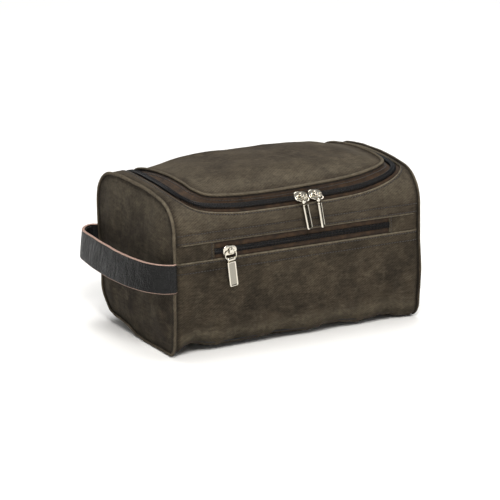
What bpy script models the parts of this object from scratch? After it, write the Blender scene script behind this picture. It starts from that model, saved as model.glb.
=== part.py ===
"""Shaving kit bag: a canvas wash bag with a zipped lid, a zipped front pocket and a leather side handle.

Metres, +Z up. The origin is the middle of the base, on the surface that the bag stands on.
+X runs along the bag, away from the handle, and +Y to the back. The front pocket faces -Y.
"""

import math

import bmesh
import bpy
from mathutils import Matrix, Vector

# Overall sizes of the body
LENGTH = 0.260
DEPTH = 0.154
HEIGHT = 0.147
TOP_CORNER_RADIUS = 0.032
TOP_CROWN_RADIUS = 0.320
BASE_CORNER_RADIUS = 0.008

# Cloth, from the outer face inwards
CANVAS = 0.0012
LINING = 0.0008
TAPE = 0.0006
LAYER_GAP = 0.0006
SEAM_GAP = 0.0004
PIPING_RADIUS = 0.0022
END_PANEL_SET_IN = 0.0010

# Lid, its zip line and its hinge, measured round the outside of the bag
ZIP_SIDE_INSET = 0.0170
ZIP_FRONT_RISE = 0.0225
ZIP_CORNER_RADIUS = 0.037
HINGE_DROP = 0.0145
HINGE_GAP = 0.0005
BODY_TAPE_SHOWN = 0.0060
TAPE_HIDDEN = 0.0030
LID_REVEAL = 0.0106
LID_RISE = 0.0053
LID_RAMP = 0.030
LID_CROWN = 0.0035
LID_PIPING_RADIUS = 0.0021

# Zip chain and slider
COIL_RADIUS = 0.0012
COIL_OFFSET = 0.0019
COIL_LIFT = 0.0015
CHAIN_GAP = 0.0014
SLIDER_LENGTH = 0.0140
SLIDER_WIDTH = 0.0094
SLIDER_PLATE = 0.0012
SLIDER_CLEARANCE = 0.0005
SLIDER_SIDE_GAP = 0.0005
POST_THICKNESS = 0.0008
POST_LENGTH = 0.0030
FLANGE_THICKNESS = 0.0008
BACK_PLATE = 0.0008
RUNNING_GAP = 0.0003
SLIDER_BACK_GAP = 0.0001

# Crown, wire link and bar pull on each slider
CROWN_LENGTH = 0.0030
CROWN_WALL = 0.0009
TUNNEL_WIDTH = 0.0030
TUNNEL_HEIGHT = 0.0019
WIRE_RADIUS = 0.00055
LINK_WIDTH = 0.0110
LINK_OVERHANG = 0.0027
LINK_CORNER = 0.0026
KNUCKLE_BORE = 0.00175
KNUCKLE_WALL = 0.00075
KNUCKLE_WIDTH = 0.0015
PULL_WIDTH = 0.0086
PULL_THICKNESS = 0.0022
PULL_LENGTH = 0.0265

# Where the lid's sliders stand when it is closed, and how each link and pull lies, in degrees
LID_SLIDERS = {
    "left": {"x": 0.0040, "link_yaw": 2, "pull_yaw": 32, "pull_pitch": 9, "pull_lean": 8},
    "right": {"x": 0.0190, "link_yaw": 3, "pull_yaw": 47, "pull_pitch": 10, "pull_lean": 5},
}
LID_LINK_TILT = 15

# Front pocket
POCKET_ZIP_DROP = 0.0518
POCKET_ZIP_OPENING = 0.0136
POCKET_LEFT = 0.0415
POCKET_RIGHT = 0.0340
POCKET_SLIDER_X = -0.0740
POCKET_LINK_TILT = 4
POCKET_PULL_LEAN = 7
POCKET_DEPTH = 0.0064
POCKET_SIDE_MARGIN = 0.010
POCKET_FOOT = 0.012
POCKET_HEAD = 0.012
POCKET_RAMP = 0.010

# Handle
HANDLE_WIDTH = 0.0270
HANDLE_DROP = 0.0572
HANDLE_REACH = 0.0253
HANDLE_LAYER = 0.0013
HANDLE_LAYER_GAP = 0.0003
HANDLE_CORNER_RADIUS = 0.020
HANDLE_BOW_RADIUS = 0.375
HANDLE_SEWN = 0.0065

HALF_LENGTH = LENGTH / 2
HALF_DEPTH = DEPTH / 2
POCKET_ZIP_HEIGHT = HEIGHT - POCKET_ZIP_DROP
HANDLE_TOP = HEIGHT - HANDLE_DROP
LID_TAPE_FLAT = SLIDER_WIDTH / 2 + SLIDER_SIDE_GAP
LINK_REACH = SLIDER_WIDTH / 2 + LINK_OVERHANG
TAPE_FACE = -(CANVAS + LAYER_GAP)
LINING_FACE = TAPE_FACE - TAPE - LAYER_GAP
SLEEVE_END = HALF_LENGTH - 2 * PIPING_RADIUS - SEAM_GAP
ARC_STEP = 0.0052
FLAT_STEP = 0.020

PARTS = "shaving_kit_bag"
CUTTERS = "cutters"


# ---------------------------------------------------------------- outlines


class Outline:
    """A smooth outline in a plane, made of straights and arcs and read by the distance along it."""

    def __init__(self):
        self.pieces = []
        self.marks = [0.0]

    def line(self, start, end, normal):
        length = math.dist(start, end)
        self.pieces.append((length, "line", (start, end, normal)))
        self.marks.append(self.marks[-1] + length)
        return self

    def arc(self, centre, radius, first, last):
        length = radius * abs(last - first)
        self.pieces.append((length, "arc", (centre, radius, first, last)))
        self.marks.append(self.marks[-1] + length)
        return self

    @property
    def length(self):
        return self.marks[-1]

    def at(self, distance, outwards=0.0):
        """The point that far along, moved outwards along the outline's normal."""
        index = 0
        while index < len(self.pieces) - 1 and distance > self.marks[index + 1]:
            index += 1
        length, kind, form = self.pieces[index]
        share = (distance - self.marks[index]) / length
        if kind == "line":
            start, end, normal = form
            return tuple(a + (b - a) * share + n * outwards for a, b, n in zip(start, end, normal))
        centre, radius, first, last = form
        angle = first + (last - first) * share
        reach = radius + outwards
        return centre[0] + reach * math.cos(angle), centre[1] + reach * math.sin(angle)

    def stations(self, start, end, arc_step, line_step):
        """Distances from start to end, with every change from straight to arc among them."""
        found = [start]
        for index, (_, kind, form) in enumerate(self.pieces):
            low = max(start, self.marks[index])
            high = min(end, self.marks[index + 1])
            if high - low < 1e-6:
                continue
            gentle = kind == "line" or form[1] > 4 * TOP_CORNER_RADIUS
            count = max(1, math.ceil((high - low) / (line_step if gentle else arc_step)))
            found += [low + (high - low) * (i + 1) / count for i in range(count)]
        return found


def arch(outline, half_width, corner, crown, height):
    """Adds a corner arc, a wide crown arc and a corner arc to an outline, each tangent to the next.
    Returns the height at which the corners begin."""
    lean = math.asin((half_width - corner) / (crown - corner))
    spring = height - crown + (crown - corner) * math.cos(lean)
    outline.arc((corner - half_width, spring), corner, math.pi, math.pi / 2 + lean)
    outline.arc((0, height - crown), crown, math.pi / 2 + lean, math.pi / 2 - lean)
    outline.arc((half_width - corner, spring), corner, math.pi / 2 - lean, 0)
    return spring


def arch_spring(half_width, corner, crown, height):
    return arch(Outline(), half_width, corner, crown, height)


def make_section():
    """The bag's section in Y and Z: from the base's front edge up the front, over and down the back."""
    top = (HALF_DEPTH, TOP_CORNER_RADIUS, TOP_CROWN_RADIUS, HEIGHT)
    spring = arch_spring(*top)
    base = BASE_CORNER_RADIUS
    outline = Outline()
    outline.arc((base - HALF_DEPTH, base), base, -math.pi / 2, -math.pi)
    outline.line((-HALF_DEPTH, base), (-HALF_DEPTH, spring), (-1, 0))
    arch(outline, *top)
    outline.line((HALF_DEPTH, spring), (HALF_DEPTH, base), (1, 0))
    outline.arc((HALF_DEPTH - base, base), base, 0, -math.pi / 2)
    return outline


SECTION = make_section()
FRONT_WALL = SECTION.marks[1]
FRONT_ARC = SECTION.marks[2]
REAR_ARC = SECTION.marks[4]
HINGE = REAR_ARC + HINGE_DROP
ZIP_FRONT = FRONT_ARC + ZIP_FRONT_RISE
ZIP_SIDE = HALF_LENGTH - ZIP_SIDE_INSET


def up_front(height):
    """The distance round the section at which the front wall reaches a height."""
    return FRONT_WALL + height - BASE_CORNER_RADIUS


def on_sleeve(x, around, outwards=0.0):
    """A point on the bag's long wall, which is flat cloth bent round the section."""
    return Vector((x, *SECTION.at(around, outwards)))


def make_zip_line():
    """The lid zip on the flat cloth: down the left side, along the front and up the right side."""
    radius = ZIP_CORNER_RADIUS
    rear = HINGE - HINGE_GAP
    outline = Outline()
    outline.line((-ZIP_SIDE, rear), (-ZIP_SIDE, ZIP_FRONT + radius), (-1, 0))
    outline.arc((radius - ZIP_SIDE, ZIP_FRONT + radius), radius, math.pi, 1.5 * math.pi)
    outline.line((radius - ZIP_SIDE, ZIP_FRONT), (ZIP_SIDE - radius, ZIP_FRONT), (0, -1))
    outline.arc((ZIP_SIDE - radius, ZIP_FRONT + radius), radius, 1.5 * math.pi, 2 * math.pi)
    outline.line((ZIP_SIDE, ZIP_FRONT + radius), (ZIP_SIDE, rear), (1, 0))
    return outline


ZIP = make_zip_line()


def zip_stations():
    """Stations along the lid zip. Its sides run over the crown and the rear corner, as the section does."""
    start = ZIP_FRONT + ZIP_CORNER_RADIUS
    sides = SECTION.stations(start, HINGE - HINGE_GAP, ARC_STEP, FLAT_STEP)
    left = [HINGE - HINGE_GAP - around for around in reversed(sides)]
    middle = ZIP.stations(ZIP.marks[1], ZIP.marks[4], ARC_STEP, 2 * FLAT_STEP)
    right = [ZIP.marks[4] + around - start for around in sides]
    return left[:-1] + middle + right[1:]


def on_zip(distance, outside, outwards):
    """A point beside the lid zip: outside is towards the body, and negative towards the lid."""
    x, around = ZIP.at(distance, outside)
    return on_sleeve(x, around, outwards)


def smooth(share):
    share = min(1.0, max(0.0, share))
    return share * share * (3 - 2 * share)


def lid_ramp(around):
    """0 at the hinge, 1 where the lid stands at its full height above the body."""
    return smooth((HINGE - around) / LID_RAMP)


# ---------------------------------------------------------------- scene, materials and solids


def clear_scene():
    for obj in list(bpy.data.objects):
        bpy.data.objects.remove(obj)


def collection(name):
    found = bpy.data.collections.get(name)
    if found is None:
        found = bpy.data.collections.new(name)
        bpy.context.scene.collection.children.link(found)
    return found


def material(name, colour, roughness, metallic=0.0):
    """A Principled material, made once. The colour is linear red, green and blue."""
    found = bpy.data.materials.get(name)
    if found is None:
        found = bpy.data.materials.new(name)
        found.use_nodes = True
        shader = found.node_tree.nodes["Principled BSDF"]
        shader.inputs["Base Color"].default_value = (*colour, 1)
        shader.inputs["Roughness"].default_value = roughness
        shader.inputs["Metallic"].default_value = metallic
        found.diffuse_color = (*colour, 1)
    return found


def add_object(name, data, finish, group=PARTS):
    obj = bpy.data.objects.new(name, data)
    collection(group).objects.link(obj)
    if finish is not None:
        data.materials.append(material(*finish))
    return obj


def cloth(kind):
    return {
        "canvas": ("olive_canvas", (0.064, 0.050, 0.036), 0.95),
        "piping": ("piping_canvas", (0.110, 0.090, 0.068), 0.95),
        "lining": ("black_lining", (0.016, 0.016, 0.018), 0.80),
        "tape": ("brown_zip_tape", (0.036, 0.024, 0.017), 0.90),
        "coil": ("black_coil", (0.010, 0.012, 0.018), 0.45),
        "leather": ("black_leather", (0.022, 0.023, 0.023), 0.55),
        "nickel": ("polished_nickel", (0.72, 0.70, 0.66), 0.18, 1.0),
    }[kind]


def sheet(name, across, along, place, thickness, kind):
    """A sheet of cloth: a flat grid laid on place(u, v) as its outer face, with its thickness inwards."""
    bm = bmesh.new()
    columns, rows = len(across) - 1, len(along) - 1
    bmesh.ops.create_grid(bm, x_segments=columns, y_segments=rows, size=0.5)
    for vert in bm.verts:
        i = round((vert.co.x + 0.5) * columns)
        j = round((vert.co.y + 0.5) * rows)
        vert.co = place(across[i], along[j])
    mesh = bpy.data.meshes.new(name)
    bm.to_mesh(mesh)
    bm.free()
    mesh.shade_smooth()
    obj = add_object(name, mesh, cloth(kind))
    wall = obj.modifiers.new("thickness", "SOLIDIFY")
    wall.thickness = thickness
    wall.offset = -1
    return obj


def cord(name, points, radius, kind, cyclic=False, group=PARTS):
    """A round cord along points: a poly curve with a bevel and filled caps."""
    curve = bpy.data.curves.new(name, "CURVE")
    curve.dimensions = "3D"
    curve.bevel_depth = radius
    curve.bevel_resolution = 2
    curve.use_fill_caps = True
    spline = curve.splines.new("POLY")
    spline.points.add(len(points) - 1)
    for point, co in zip(spline.points, points):
        point.co = (*co, 1)
    spline.use_cyclic_u = cyclic
    return add_object(name, curve, cloth(kind), group)


def plate(name, outline, x_outer, x_inner, kind):
    """A flat piece parallel to the YZ plane: a filled outline, extruded by half its thickness each way."""
    curve = bpy.data.curves.new(name, "CURVE")
    curve.dimensions = "2D"
    curve.fill_mode = "BOTH"
    curve.extrude = abs(x_outer - x_inner) / 2
    spline = curve.splines.new("POLY")
    spline.points.add(len(outline) - 1)
    for point, (y, z) in zip(spline.points, outline):
        point.co = (y, z, 0, 1)
    spline.use_cyclic_u = True
    obj = add_object(name, curve, cloth(kind))
    turn = Matrix(((0, 0, 1, 0), (1, 0, 0, 0), (0, 1, 0, 0), (0, 0, 0, 1)))
    obj.matrix_world = Matrix.Translation(((x_outer + x_inner) / 2, 0, 0)) @ turn
    return obj


def box(bm, low, high, turn=None):
    """Adds a box between two corners to a bmesh."""
    centre = [(a + b) / 2 for a, b in zip(low, high)]
    size = [b - a for a, b in zip(low, high)]
    matrix = Matrix.Translation(centre) @ Matrix.Diagonal((*size, 1))
    bmesh.ops.create_cube(bm, size=1, matrix=turn @ matrix if turn else matrix)


def solid_from(bm, name, kind=None, group=PARTS):
    """An object from a bmesh. A cutter gets no material and stays out of the render."""
    mesh = bpy.data.meshes.new(name)
    bm.to_mesh(mesh)
    bm.free()
    mesh.shade_smooth()
    mesh.set_sharp_from_angle(angle=math.radians(35))
    obj = add_object(name, mesh, cloth(kind) if kind else None, group)
    if group == CUTTERS:
        obj.hide_render = True
        obj.display_type = "WIRE"
    return obj


def boolean(obj, other, operation):
    step = obj.modifiers.new(f"{operation.lower()} {other.name}", "BOOLEAN")
    step.operation = operation
    step.object = other
    step.solver = "EXACT"


def bevel(obj, width):
    step = obj.modifiers.new("edge", "BEVEL")
    step.width = width
    step.segments = 1
    step.limit_method = "ANGLE"


def hang(child, parent):
    """Parents an object that is already in place, without moving it."""
    child.parent = parent
    child.matrix_parent_inverse = parent.matrix_world.inverted()
    return child


# ---------------------------------------------------------------- canvas body


def sleeve_sheet(name, x_low, x_high, start, end, kind, thickness, outer_face=0.0):
    """A panel that spans the bag's long wall from one distance round the section to another."""
    return sheet(
        name,
        [x_low, x_high],
        SECTION.stations(start, end, ARC_STEP, 2 * FLAT_STEP),
        lambda x, around: on_sleeve(x, around, outer_face),
        thickness,
        kind,
    )


POCKET_LOW = up_front(POCKET_ZIP_HEIGHT - POCKET_ZIP_OPENING / 2)
POCKET_HIGH = up_front(POCKET_ZIP_HEIGHT + POCKET_ZIP_OPENING / 2)
POCKET_X_LOW = -HALF_LENGTH + POCKET_LEFT
POCKET_X_HIGH = HALF_LENGTH - POCKET_RIGHT


def add_body_panels():
    end = SLEEVE_END
    sleeve_sheet("front_lower_panel", -end, end, SEAM_GAP, POCKET_LOW, "canvas", CANVAS)
    tab = (POCKET_LOW + SEAM_GAP, POCKET_HIGH - SEAM_GAP, "canvas", CANVAS)
    sleeve_sheet("pocket_tab_left", -end, POCKET_X_LOW, *tab)
    sleeve_sheet("pocket_tab_right", POCKET_X_HIGH, end, *tab)
    rear = (HINGE + HINGE_GAP, SECTION.length - SEAM_GAP)
    sleeve_sheet("back_panel", -end, end, *rear, "canvas", CANVAS)
    half = HALF_DEPTH - BASE_CORNER_RADIUS - SEAM_GAP
    sheet(
        "base_panel",
        [-end, end],
        [half, -half],
        lambda x, y: Vector((x, y, 0)),
        CANVAS,
        "canvas",
    )


def shoulder_edge(distance):
    """Where the front upper panel's outer edge lies, on the flat cloth, opposite a point of the zip."""
    first, second, third, fourth = ZIP.marks[1:5]
    x, around = ZIP.at(distance)
    corner_start = ZIP_FRONT + ZIP_CORNER_RADIUS
    corner_x = ZIP_SIDE - ZIP_CORNER_RADIUS
    if distance <= first or distance >= fourth:
        return math.copysign(SLEEVE_END, x), around
    if second <= distance <= third:
        return x, POCKET_HIGH
    share = (distance - first if distance < second else fourth - distance) / (second - first)
    if share <= 0.5:
        return math.copysign(SLEEVE_END, x), corner_start + (POCKET_HIGH - corner_start) * 2 * share
    return math.copysign(SLEEVE_END + (corner_x - SLEEVE_END) * (2 * share - 1), x), POCKET_HIGH


def shoulder_stations():
    """The zip's stations, and the middle of each corner, where the panel's own corner lies."""
    corners = [(ZIP.marks[1] + ZIP.marks[2]) / 2, (ZIP.marks[3] + ZIP.marks[4]) / 2]
    kept = [d for d in zip_stations() if min(abs(d - c) for c in corners) > 0.001]
    return sorted(kept + corners)


def add_front_upper_panel():
    """The panel above the pocket zip. Its two arms run back beside the lid as the bag's shoulders."""

    def place(distance, share):
        inner = ZIP.at(distance, BODY_TAPE_SHOWN)
        outer = shoulder_edge(distance)
        x, around = (o + (i - o) * share for i, o in zip(inner, outer))
        return on_sleeve(x, around)

    sheet("front_upper_panel", shoulder_stations(), [i / 5 for i in range(6)], place, CANVAS, "canvas")


def section_ring(inwards):
    """The whole section as a closed ring of points, moved inwards."""
    stations = SECTION.stations(0, SECTION.length, 2 * ARC_STEP, 2 * FLAT_STEP)
    return [SECTION.at(around, -inwards) for around in stations]


def add_ends():
    """At each end, a piping in the seam, a flat canvas panel inside it and the panel's lining."""
    inside_piping = 2 * PIPING_RADIUS + SEAM_GAP
    ring = section_ring(inside_piping)
    middle = section_ring(PIPING_RADIUS)
    outer = HALF_LENGTH - END_PANEL_SET_IN
    lining = outer - CANVAS - LAYER_GAP
    for side, name in ((-1, "left"), (1, "right")):
        x = side * (HALF_LENGTH - PIPING_RADIUS)
        cord(f"end_piping_{name}", [(x, y, z) for y, z in middle], PIPING_RADIUS, "piping", True)
        plate(f"end_panel_{name}", ring, side * outer, side * (outer - CANVAS), "canvas")
        plate(f"lining_end_{name}", ring, side * lining, side * (lining - LINING), "lining")


# ---------------------------------------------------------------- linings and pocket


def pocket_bulge(x, around):
    """How far the pocket's bag stands behind the front wall: most in its middle, none at its edges."""
    side = (SLEEVE_END - POCKET_SIDE_MARGIN - abs(x)) / POCKET_RAMP
    foot = (around - up_front(POCKET_FOOT)) / POCKET_RAMP
    head = (POCKET_HIGH + POCKET_HEAD - around) / POCKET_RAMP
    return POCKET_DEPTH * smooth(side) * smooth(foot) * smooth(head)


def pocket_columns():
    inner = SLEEVE_END - POCKET_SIDE_MARGIN - POCKET_RAMP
    steps = [inner + POCKET_RAMP * i / 4 for i in range(5)]
    return [-SLEEVE_END] + [-x for x in reversed(steps)] + steps + [SLEEVE_END]


def add_linings():
    columns = pocket_columns()
    foot, head = up_front(POCKET_FOOT), POCKET_HIGH + POCKET_HEAD
    foot_rows = [foot + POCKET_RAMP * i / 4 for i in range(5)]
    head_rows = [head - POCKET_RAMP * i / 4 for i in range(4, -1, -1)]
    rows = [FRONT_WALL] + foot_rows + head_rows
    upper = SECTION.stations(head, ZIP_FRONT - BODY_TAPE_SHOWN - TAPE_HIDDEN, ARC_STEP, FLAT_STEP)
    behind_pocket = LINING_FACE - LINING - LAYER_GAP

    def front(x, around):
        return on_sleeve(x, around, behind_pocket - pocket_bulge(x, around))

    def pocket(x, around):
        return on_sleeve(x, around, LINING_FACE - pocket_bulge(x, around))

    sheet("lining_front", columns, rows + upper[1:], front, LINING, "lining")
    sheet("pocket_back", columns[1:-1], foot_rows + head_rows, pocket, LINING, "lining")
    back = (HINGE + TAPE_HIDDEN, SECTION.marks[6], "lining", LINING, LINING_FACE)
    sleeve_sheet("lining_back", -SLEEVE_END, SLEEVE_END, *back)
    half = HALF_DEPTH + LINING_FACE - LINING
    floor = -LINING_FACE
    sheet(
        "lining_base",
        [-SLEEVE_END, SLEEVE_END],
        [half, -half],
        lambda x, y: Vector((x, y, floor)),
        LINING,
        "lining",
    )


# ---------------------------------------------------------------- lid


LID_EDGE = LID_REVEAL + LID_PIPING_RADIUS + SEAM_GAP


def lid_half_width(around, inside):
    """Half the lid's width at a distance round the section, on a line that far inside the zip."""
    radius = ZIP_CORNER_RADIUS - inside
    below = max(0.0, ZIP_FRONT + ZIP_CORNER_RADIUS - around)
    return ZIP_SIDE - ZIP_CORNER_RADIUS + math.sqrt(max(0.0, radius * radius - below * below))


def lid_height(share, around, inside):
    """How far the lid's outer face stands off the section. share runs from -1 to 1 across the lid."""
    front = ZIP_FRONT + inside
    along = (around - front) / (HINGE - front) * 2 - 1
    crown = LID_CROWN * (1 - share * share) * (1 - along * along)
    return (LID_RISE - SEAM_GAP) * lid_ramp(around) + crown


def lid_rows(inside):
    """Rows of the lid from its front edge, close together in the front corners and at the hinge."""
    radius = ZIP_CORNER_RADIUS - inside
    front = ZIP_FRONT + inside
    corner = [front + radius * (1 - math.cos(math.pi / 2 * i / 6)) for i in range(7)]
    rest = SECTION.stations(corner[-1], HINGE - HINGE_GAP, ARC_STEP, FLAT_STEP / 2)
    return corner + rest[1:]


def lid_sheet(name, inside, below, thickness, kind):
    def place(share, around):
        half = lid_half_width(around, inside)
        return on_sleeve(share * half, around, lid_height(share, around, inside) - below)

    return sheet(name, [i / 4 - 1 for i in range(9)], lid_rows(inside), place, thickness, kind)


def add_lid(hinge):
    """The lid's canvas, lining and piping. They turn about the hinge, as the inner half of the zip does."""
    hang(lid_sheet("lid_panel", LID_EDGE, 0, CANVAS, "canvas"), hinge)
    hang(lid_sheet("lid_lining", LID_EDGE, CANVAS + LAYER_GAP, LINING, "lining"), hinge)
    points = []
    for distance in zip_stations():
        around = ZIP.at(distance, -LID_REVEAL)[1]
        height = LID_RISE * lid_ramp(around) - LID_PIPING_RADIUS
        points.append(on_zip(distance, -LID_REVEAL, height))
    hang(cord("lid_piping", points, LID_PIPING_RADIUS, "piping"), hinge)


def add_lid_zip(hinge):
    """A tape and a coil on each side of the lid's zip line. The lid's tape climbs to the lid's piping."""
    stations = zip_stations()
    shown = LID_REVEAL - LID_PIPING_RADIUS - SEAM_GAP

    def body_tape(distance, outside):
        return on_zip(distance, outside, TAPE_FACE)

    def lid_tape(distance, outside):
        share = max(0.0, (-outside - LID_TAPE_FLAT) / (shown - LID_TAPE_FLAT))
        around = ZIP.at(distance, outside)[1]
        climb = (LID_RISE - LID_PIPING_RADIUS / 2) * share * lid_ramp(around)
        return on_zip(distance, outside, TAPE_FACE + climb)

    def coil(name, outside):
        lift = TAPE_FACE + COIL_LIFT
        points = [on_zip(distance, outside, lift) for distance in stations]
        return cord(name, points, COIL_RADIUS, "coil")

    edge = CHAIN_GAP / 2
    body_edge = BODY_TAPE_SHOWN + TAPE_HIDDEN
    body_strip = [body_edge, (body_edge + edge) / 2, edge]
    lid_strip = [-edge, -(edge + LID_TAPE_FLAT) / 2, -LID_TAPE_FLAT, -shown]
    sheet("lid_zip_tape_body_side", stations, body_strip, body_tape, TAPE, "tape")
    hang(sheet("lid_zip_tape_lid_side", stations, lid_strip, lid_tape, TAPE, "tape"), hinge)
    coil("lid_zip_coil_body_side", COIL_OFFSET)
    hang(coil("lid_zip_coil_lid_side", -COIL_OFFSET), hinge)


# ---------------------------------------------------------------- pocket zip


def add_pocket_zip():
    middle = up_front(POCKET_ZIP_HEIGHT)
    edge = CHAIN_GAP / 2
    far = POCKET_ZIP_OPENING / 2 + TAPE_HIDDEN
    ends = (POCKET_X_LOW - TAPE_HIDDEN, POCKET_X_HIGH + TAPE_HIDDEN)
    sleeve_sheet("pocket_zip_tape_upper", *ends, middle + edge, middle + far, "tape", TAPE, TAPE_FACE)
    sleeve_sheet("pocket_zip_tape_lower", *ends, middle - far, middle - edge, "tape", TAPE, TAPE_FACE)
    for name, side in (("upper", 1), ("lower", -1)):
        around = middle + side * COIL_OFFSET
        points = [
            on_sleeve(x, around, TAPE_FACE + COIL_LIFT)
            for x in (POCKET_X_LOW + SEAM_GAP, POCKET_X_HIGH - SEAM_GAP)
        ]
        cord(f"pocket_zip_coil_{name}", points, COIL_RADIUS, "coil")


# ---------------------------------------------------------------- sliders, links and pulls

# In a slider's own frame, X runs along the zip, Y across it and Z out of the tape's face.
PLATE_LOW = COIL_LIFT + COIL_RADIUS + SLIDER_CLEARANCE
PLATE_HIGH = PLATE_LOW + SLIDER_PLATE
WIRE_HEIGHT = PLATE_HIGH + TUNNEL_HEIGHT / 2


def slider_frame(x, around):
    """The matrix from a slider's own frame to the bag: its origin on the tape's face, on the zip line."""
    origin = on_sleeve(x, around, TAPE_FACE)
    outwards = (on_sleeve(x, around, TAPE_FACE + 0.01) - origin).normalized()
    along = Vector((1, 0, 0))
    across = outwards.cross(along)
    rotation = Matrix((along, across, outwards)).transposed()
    return Matrix.Translation(origin) @ rotation.to_4x4()


def tape_fall(reach):
    """How far the tape, bent round the bag, falls away from a slider at a distance from the zip line."""
    return reach * reach / (2 * (TOP_CORNER_RADIUS + TAPE_FACE))


def add_slider(name, frame, lower_side):
    """A slider: top plate, flanges, post, back plate and crown in one casting.
    Without its lower side it has no flange and no back plate on the body's half of the zip."""
    bm = bmesh.new()
    shape = Matrix.Translation((0, 0, (PLATE_LOW + PLATE_HIGH) / 2))
    shape @= Matrix.Diagonal((SLIDER_LENGTH, SLIDER_WIDTH, SLIDER_PLATE, 1))
    bmesh.ops.create_cone(bm, cap_ends=True, segments=20, radius1=0.5, radius2=0.5, depth=1, matrix=shape)
    slider = solid_from(bm, name, "nickel")
    slider.matrix_world = frame
    half = SLIDER_WIDTH / 2
    sides = (1, -1) if lower_side else (1,)
    bm = bmesh.new()
    reach = SLIDER_LENGTH * 0.24
    top = PLATE_LOW + SLIDER_PLATE / 2
    inner = half - FLANGE_THICKNESS - RUNNING_GAP
    for side in sides:
        low, high = sorted((side * inner, side * (inner + FLANGE_THICKNESS)))
        box(bm, (-reach, low, RUNNING_GAP), (reach, high, top))
    flanges = solid_from(bm, f"{name}_flanges", group=CUTTERS)
    bm = bmesh.new()
    nose = -SLIDER_LENGTH * 0.38
    thin = POST_THICKNESS / 2
    back_low = -(TAPE + SLIDER_BACK_GAP + tape_fall(inner) + BACK_PLATE)
    box(bm, (nose, -thin, back_low), (nose + POST_LENGTH, thin, top))
    post = solid_from(bm, f"{name}_post", group=CUTTERS)
    bm = bmesh.new()
    far = SLIDER_LENGTH * 0.40
    low_edge = -inner if lower_side else -thin
    box(bm, (-far, low_edge, back_low), (far, inner, back_low + BACK_PLATE))
    back = solid_from(bm, f"{name}_back_plate", group=CUTTERS)
    bm = bmesh.new()
    side = TUNNEL_WIDTH / 2 + CROWN_WALL
    crown_top = PLATE_HIGH + TUNNEL_HEIGHT + CROWN_WALL
    box(bm, (-CROWN_LENGTH / 2, -side, top), (CROWN_LENGTH / 2, side, crown_top))
    crown = solid_from(bm, f"{name}_crown", group=CUTTERS)
    bevel(crown, CROWN_WALL * 0.6)
    bm = bmesh.new()
    half = TUNNEL_WIDTH / 2
    box(bm, (-CROWN_LENGTH, -half, PLATE_HIGH), (CROWN_LENGTH, half, PLATE_HIGH + TUNNEL_HEIGHT))
    tunnel = solid_from(bm, f"{name}_tunnel", group=CUTTERS)
    for piece in (flanges, post, back, crown):
        boolean(slider, piece, "UNION")
    boolean(slider, tunnel, "DIFFERENCE")
    for piece in (flanges, post, back, crown, tunnel):
        piece.parent = slider
    return slider


def add_link(name, hub, turn):
    """A wire link: a rounded oblong, its top wire along X through hub, hanging along -Z before turn.
    Returns the link and the middle of its lower wire."""
    half = LINK_WIDTH / 2
    corners = [
        (half - LINK_CORNER, -LINK_CORNER, 90),
        (half - LINK_CORNER, LINK_CORNER - LINK_REACH, 0),
        (LINK_CORNER - half, LINK_CORNER - LINK_REACH, -90),
        (LINK_CORNER - half, -LINK_CORNER, -180),
    ]
    points = []
    for x, z, first in corners:
        for step in range(5):
            angle = math.radians(first - 22.5 * step)
            points.append((x + LINK_CORNER * math.cos(angle), 0, z + LINK_CORNER * math.sin(angle)))
    obj = cord(name, points, WIRE_RADIUS, "nickel", cyclic=True)
    obj.matrix_world = Matrix.Translation(hub) @ turn.to_4x4()
    return obj, hub + turn @ Vector((0, 0, -LINK_REACH))


def add_pull(name, hub, turn):
    """A bar pull: a flat bar under a short knuckle, whose bore goes round the link's lower wire at hub."""
    along_x = Matrix.Rotation(math.pi / 2, 4, "Y")
    outer = KNUCKLE_BORE + KNUCKLE_WALL
    bm = bmesh.new()
    bar_top = -(KNUCKLE_BORE + KNUCKLE_WALL / 3)
    half = PULL_THICKNESS / 2
    box(bm, (-PULL_WIDTH / 2, -half, -PULL_LENGTH), (PULL_WIDTH / 2, half, bar_top))
    pull = solid_from(bm, name, "nickel")
    pull.matrix_world = Matrix.Translation(hub) @ turn.to_4x4()
    bevel(pull, PULL_THICKNESS * 0.18)
    bm = bmesh.new()
    size = {"cap_ends": True, "segments": 16, "matrix": along_x}
    bmesh.ops.create_cone(bm, radius1=outer, radius2=outer, depth=KNUCKLE_WIDTH, **size)
    knuckle = solid_from(bm, f"{name}_knuckle", group=CUTTERS)
    bm = bmesh.new()
    bmesh.ops.create_cone(bm, radius1=KNUCKLE_BORE, radius2=KNUCKLE_BORE, depth=2 * KNUCKLE_WIDTH, **size)
    bore = solid_from(bm, f"{name}_bore", group=CUTTERS)
    boolean(pull, knuckle, "UNION")
    boolean(pull, bore, "DIFFERENCE")
    for piece in (knuckle, bore):
        piece.parent = pull
    return pull


def turned(pitch, yaw=0.0, lean=0.0):
    """Yaw turns a hanging piece about the vertical, pitch swings it outwards and lean tips it along X."""
    angles = ((-lean, "Y"), (-pitch, "X"), (yaw, "Z"))
    matrix = Matrix.Identity(3)
    for angle, axis in angles:
        matrix @= Matrix.Rotation(math.radians(angle), 3, axis)
    return matrix


def add_slider_set(prefix, suffix, frame, lower_side, link_turn, pull_turn):
    """A slider with its link and its pull, each hung from the one before. Returns the slider."""
    slider = add_slider(f"{prefix}_slider{suffix}", frame, lower_side)
    hub = frame @ Vector((0, 0, WIRE_HEIGHT))
    link, end = add_link(f"{prefix}_link{suffix}", hub, link_turn)
    hang(link, slider)
    hang(add_pull(f"{prefix}_pull{suffix}", end, pull_turn), link)
    return slider


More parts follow.
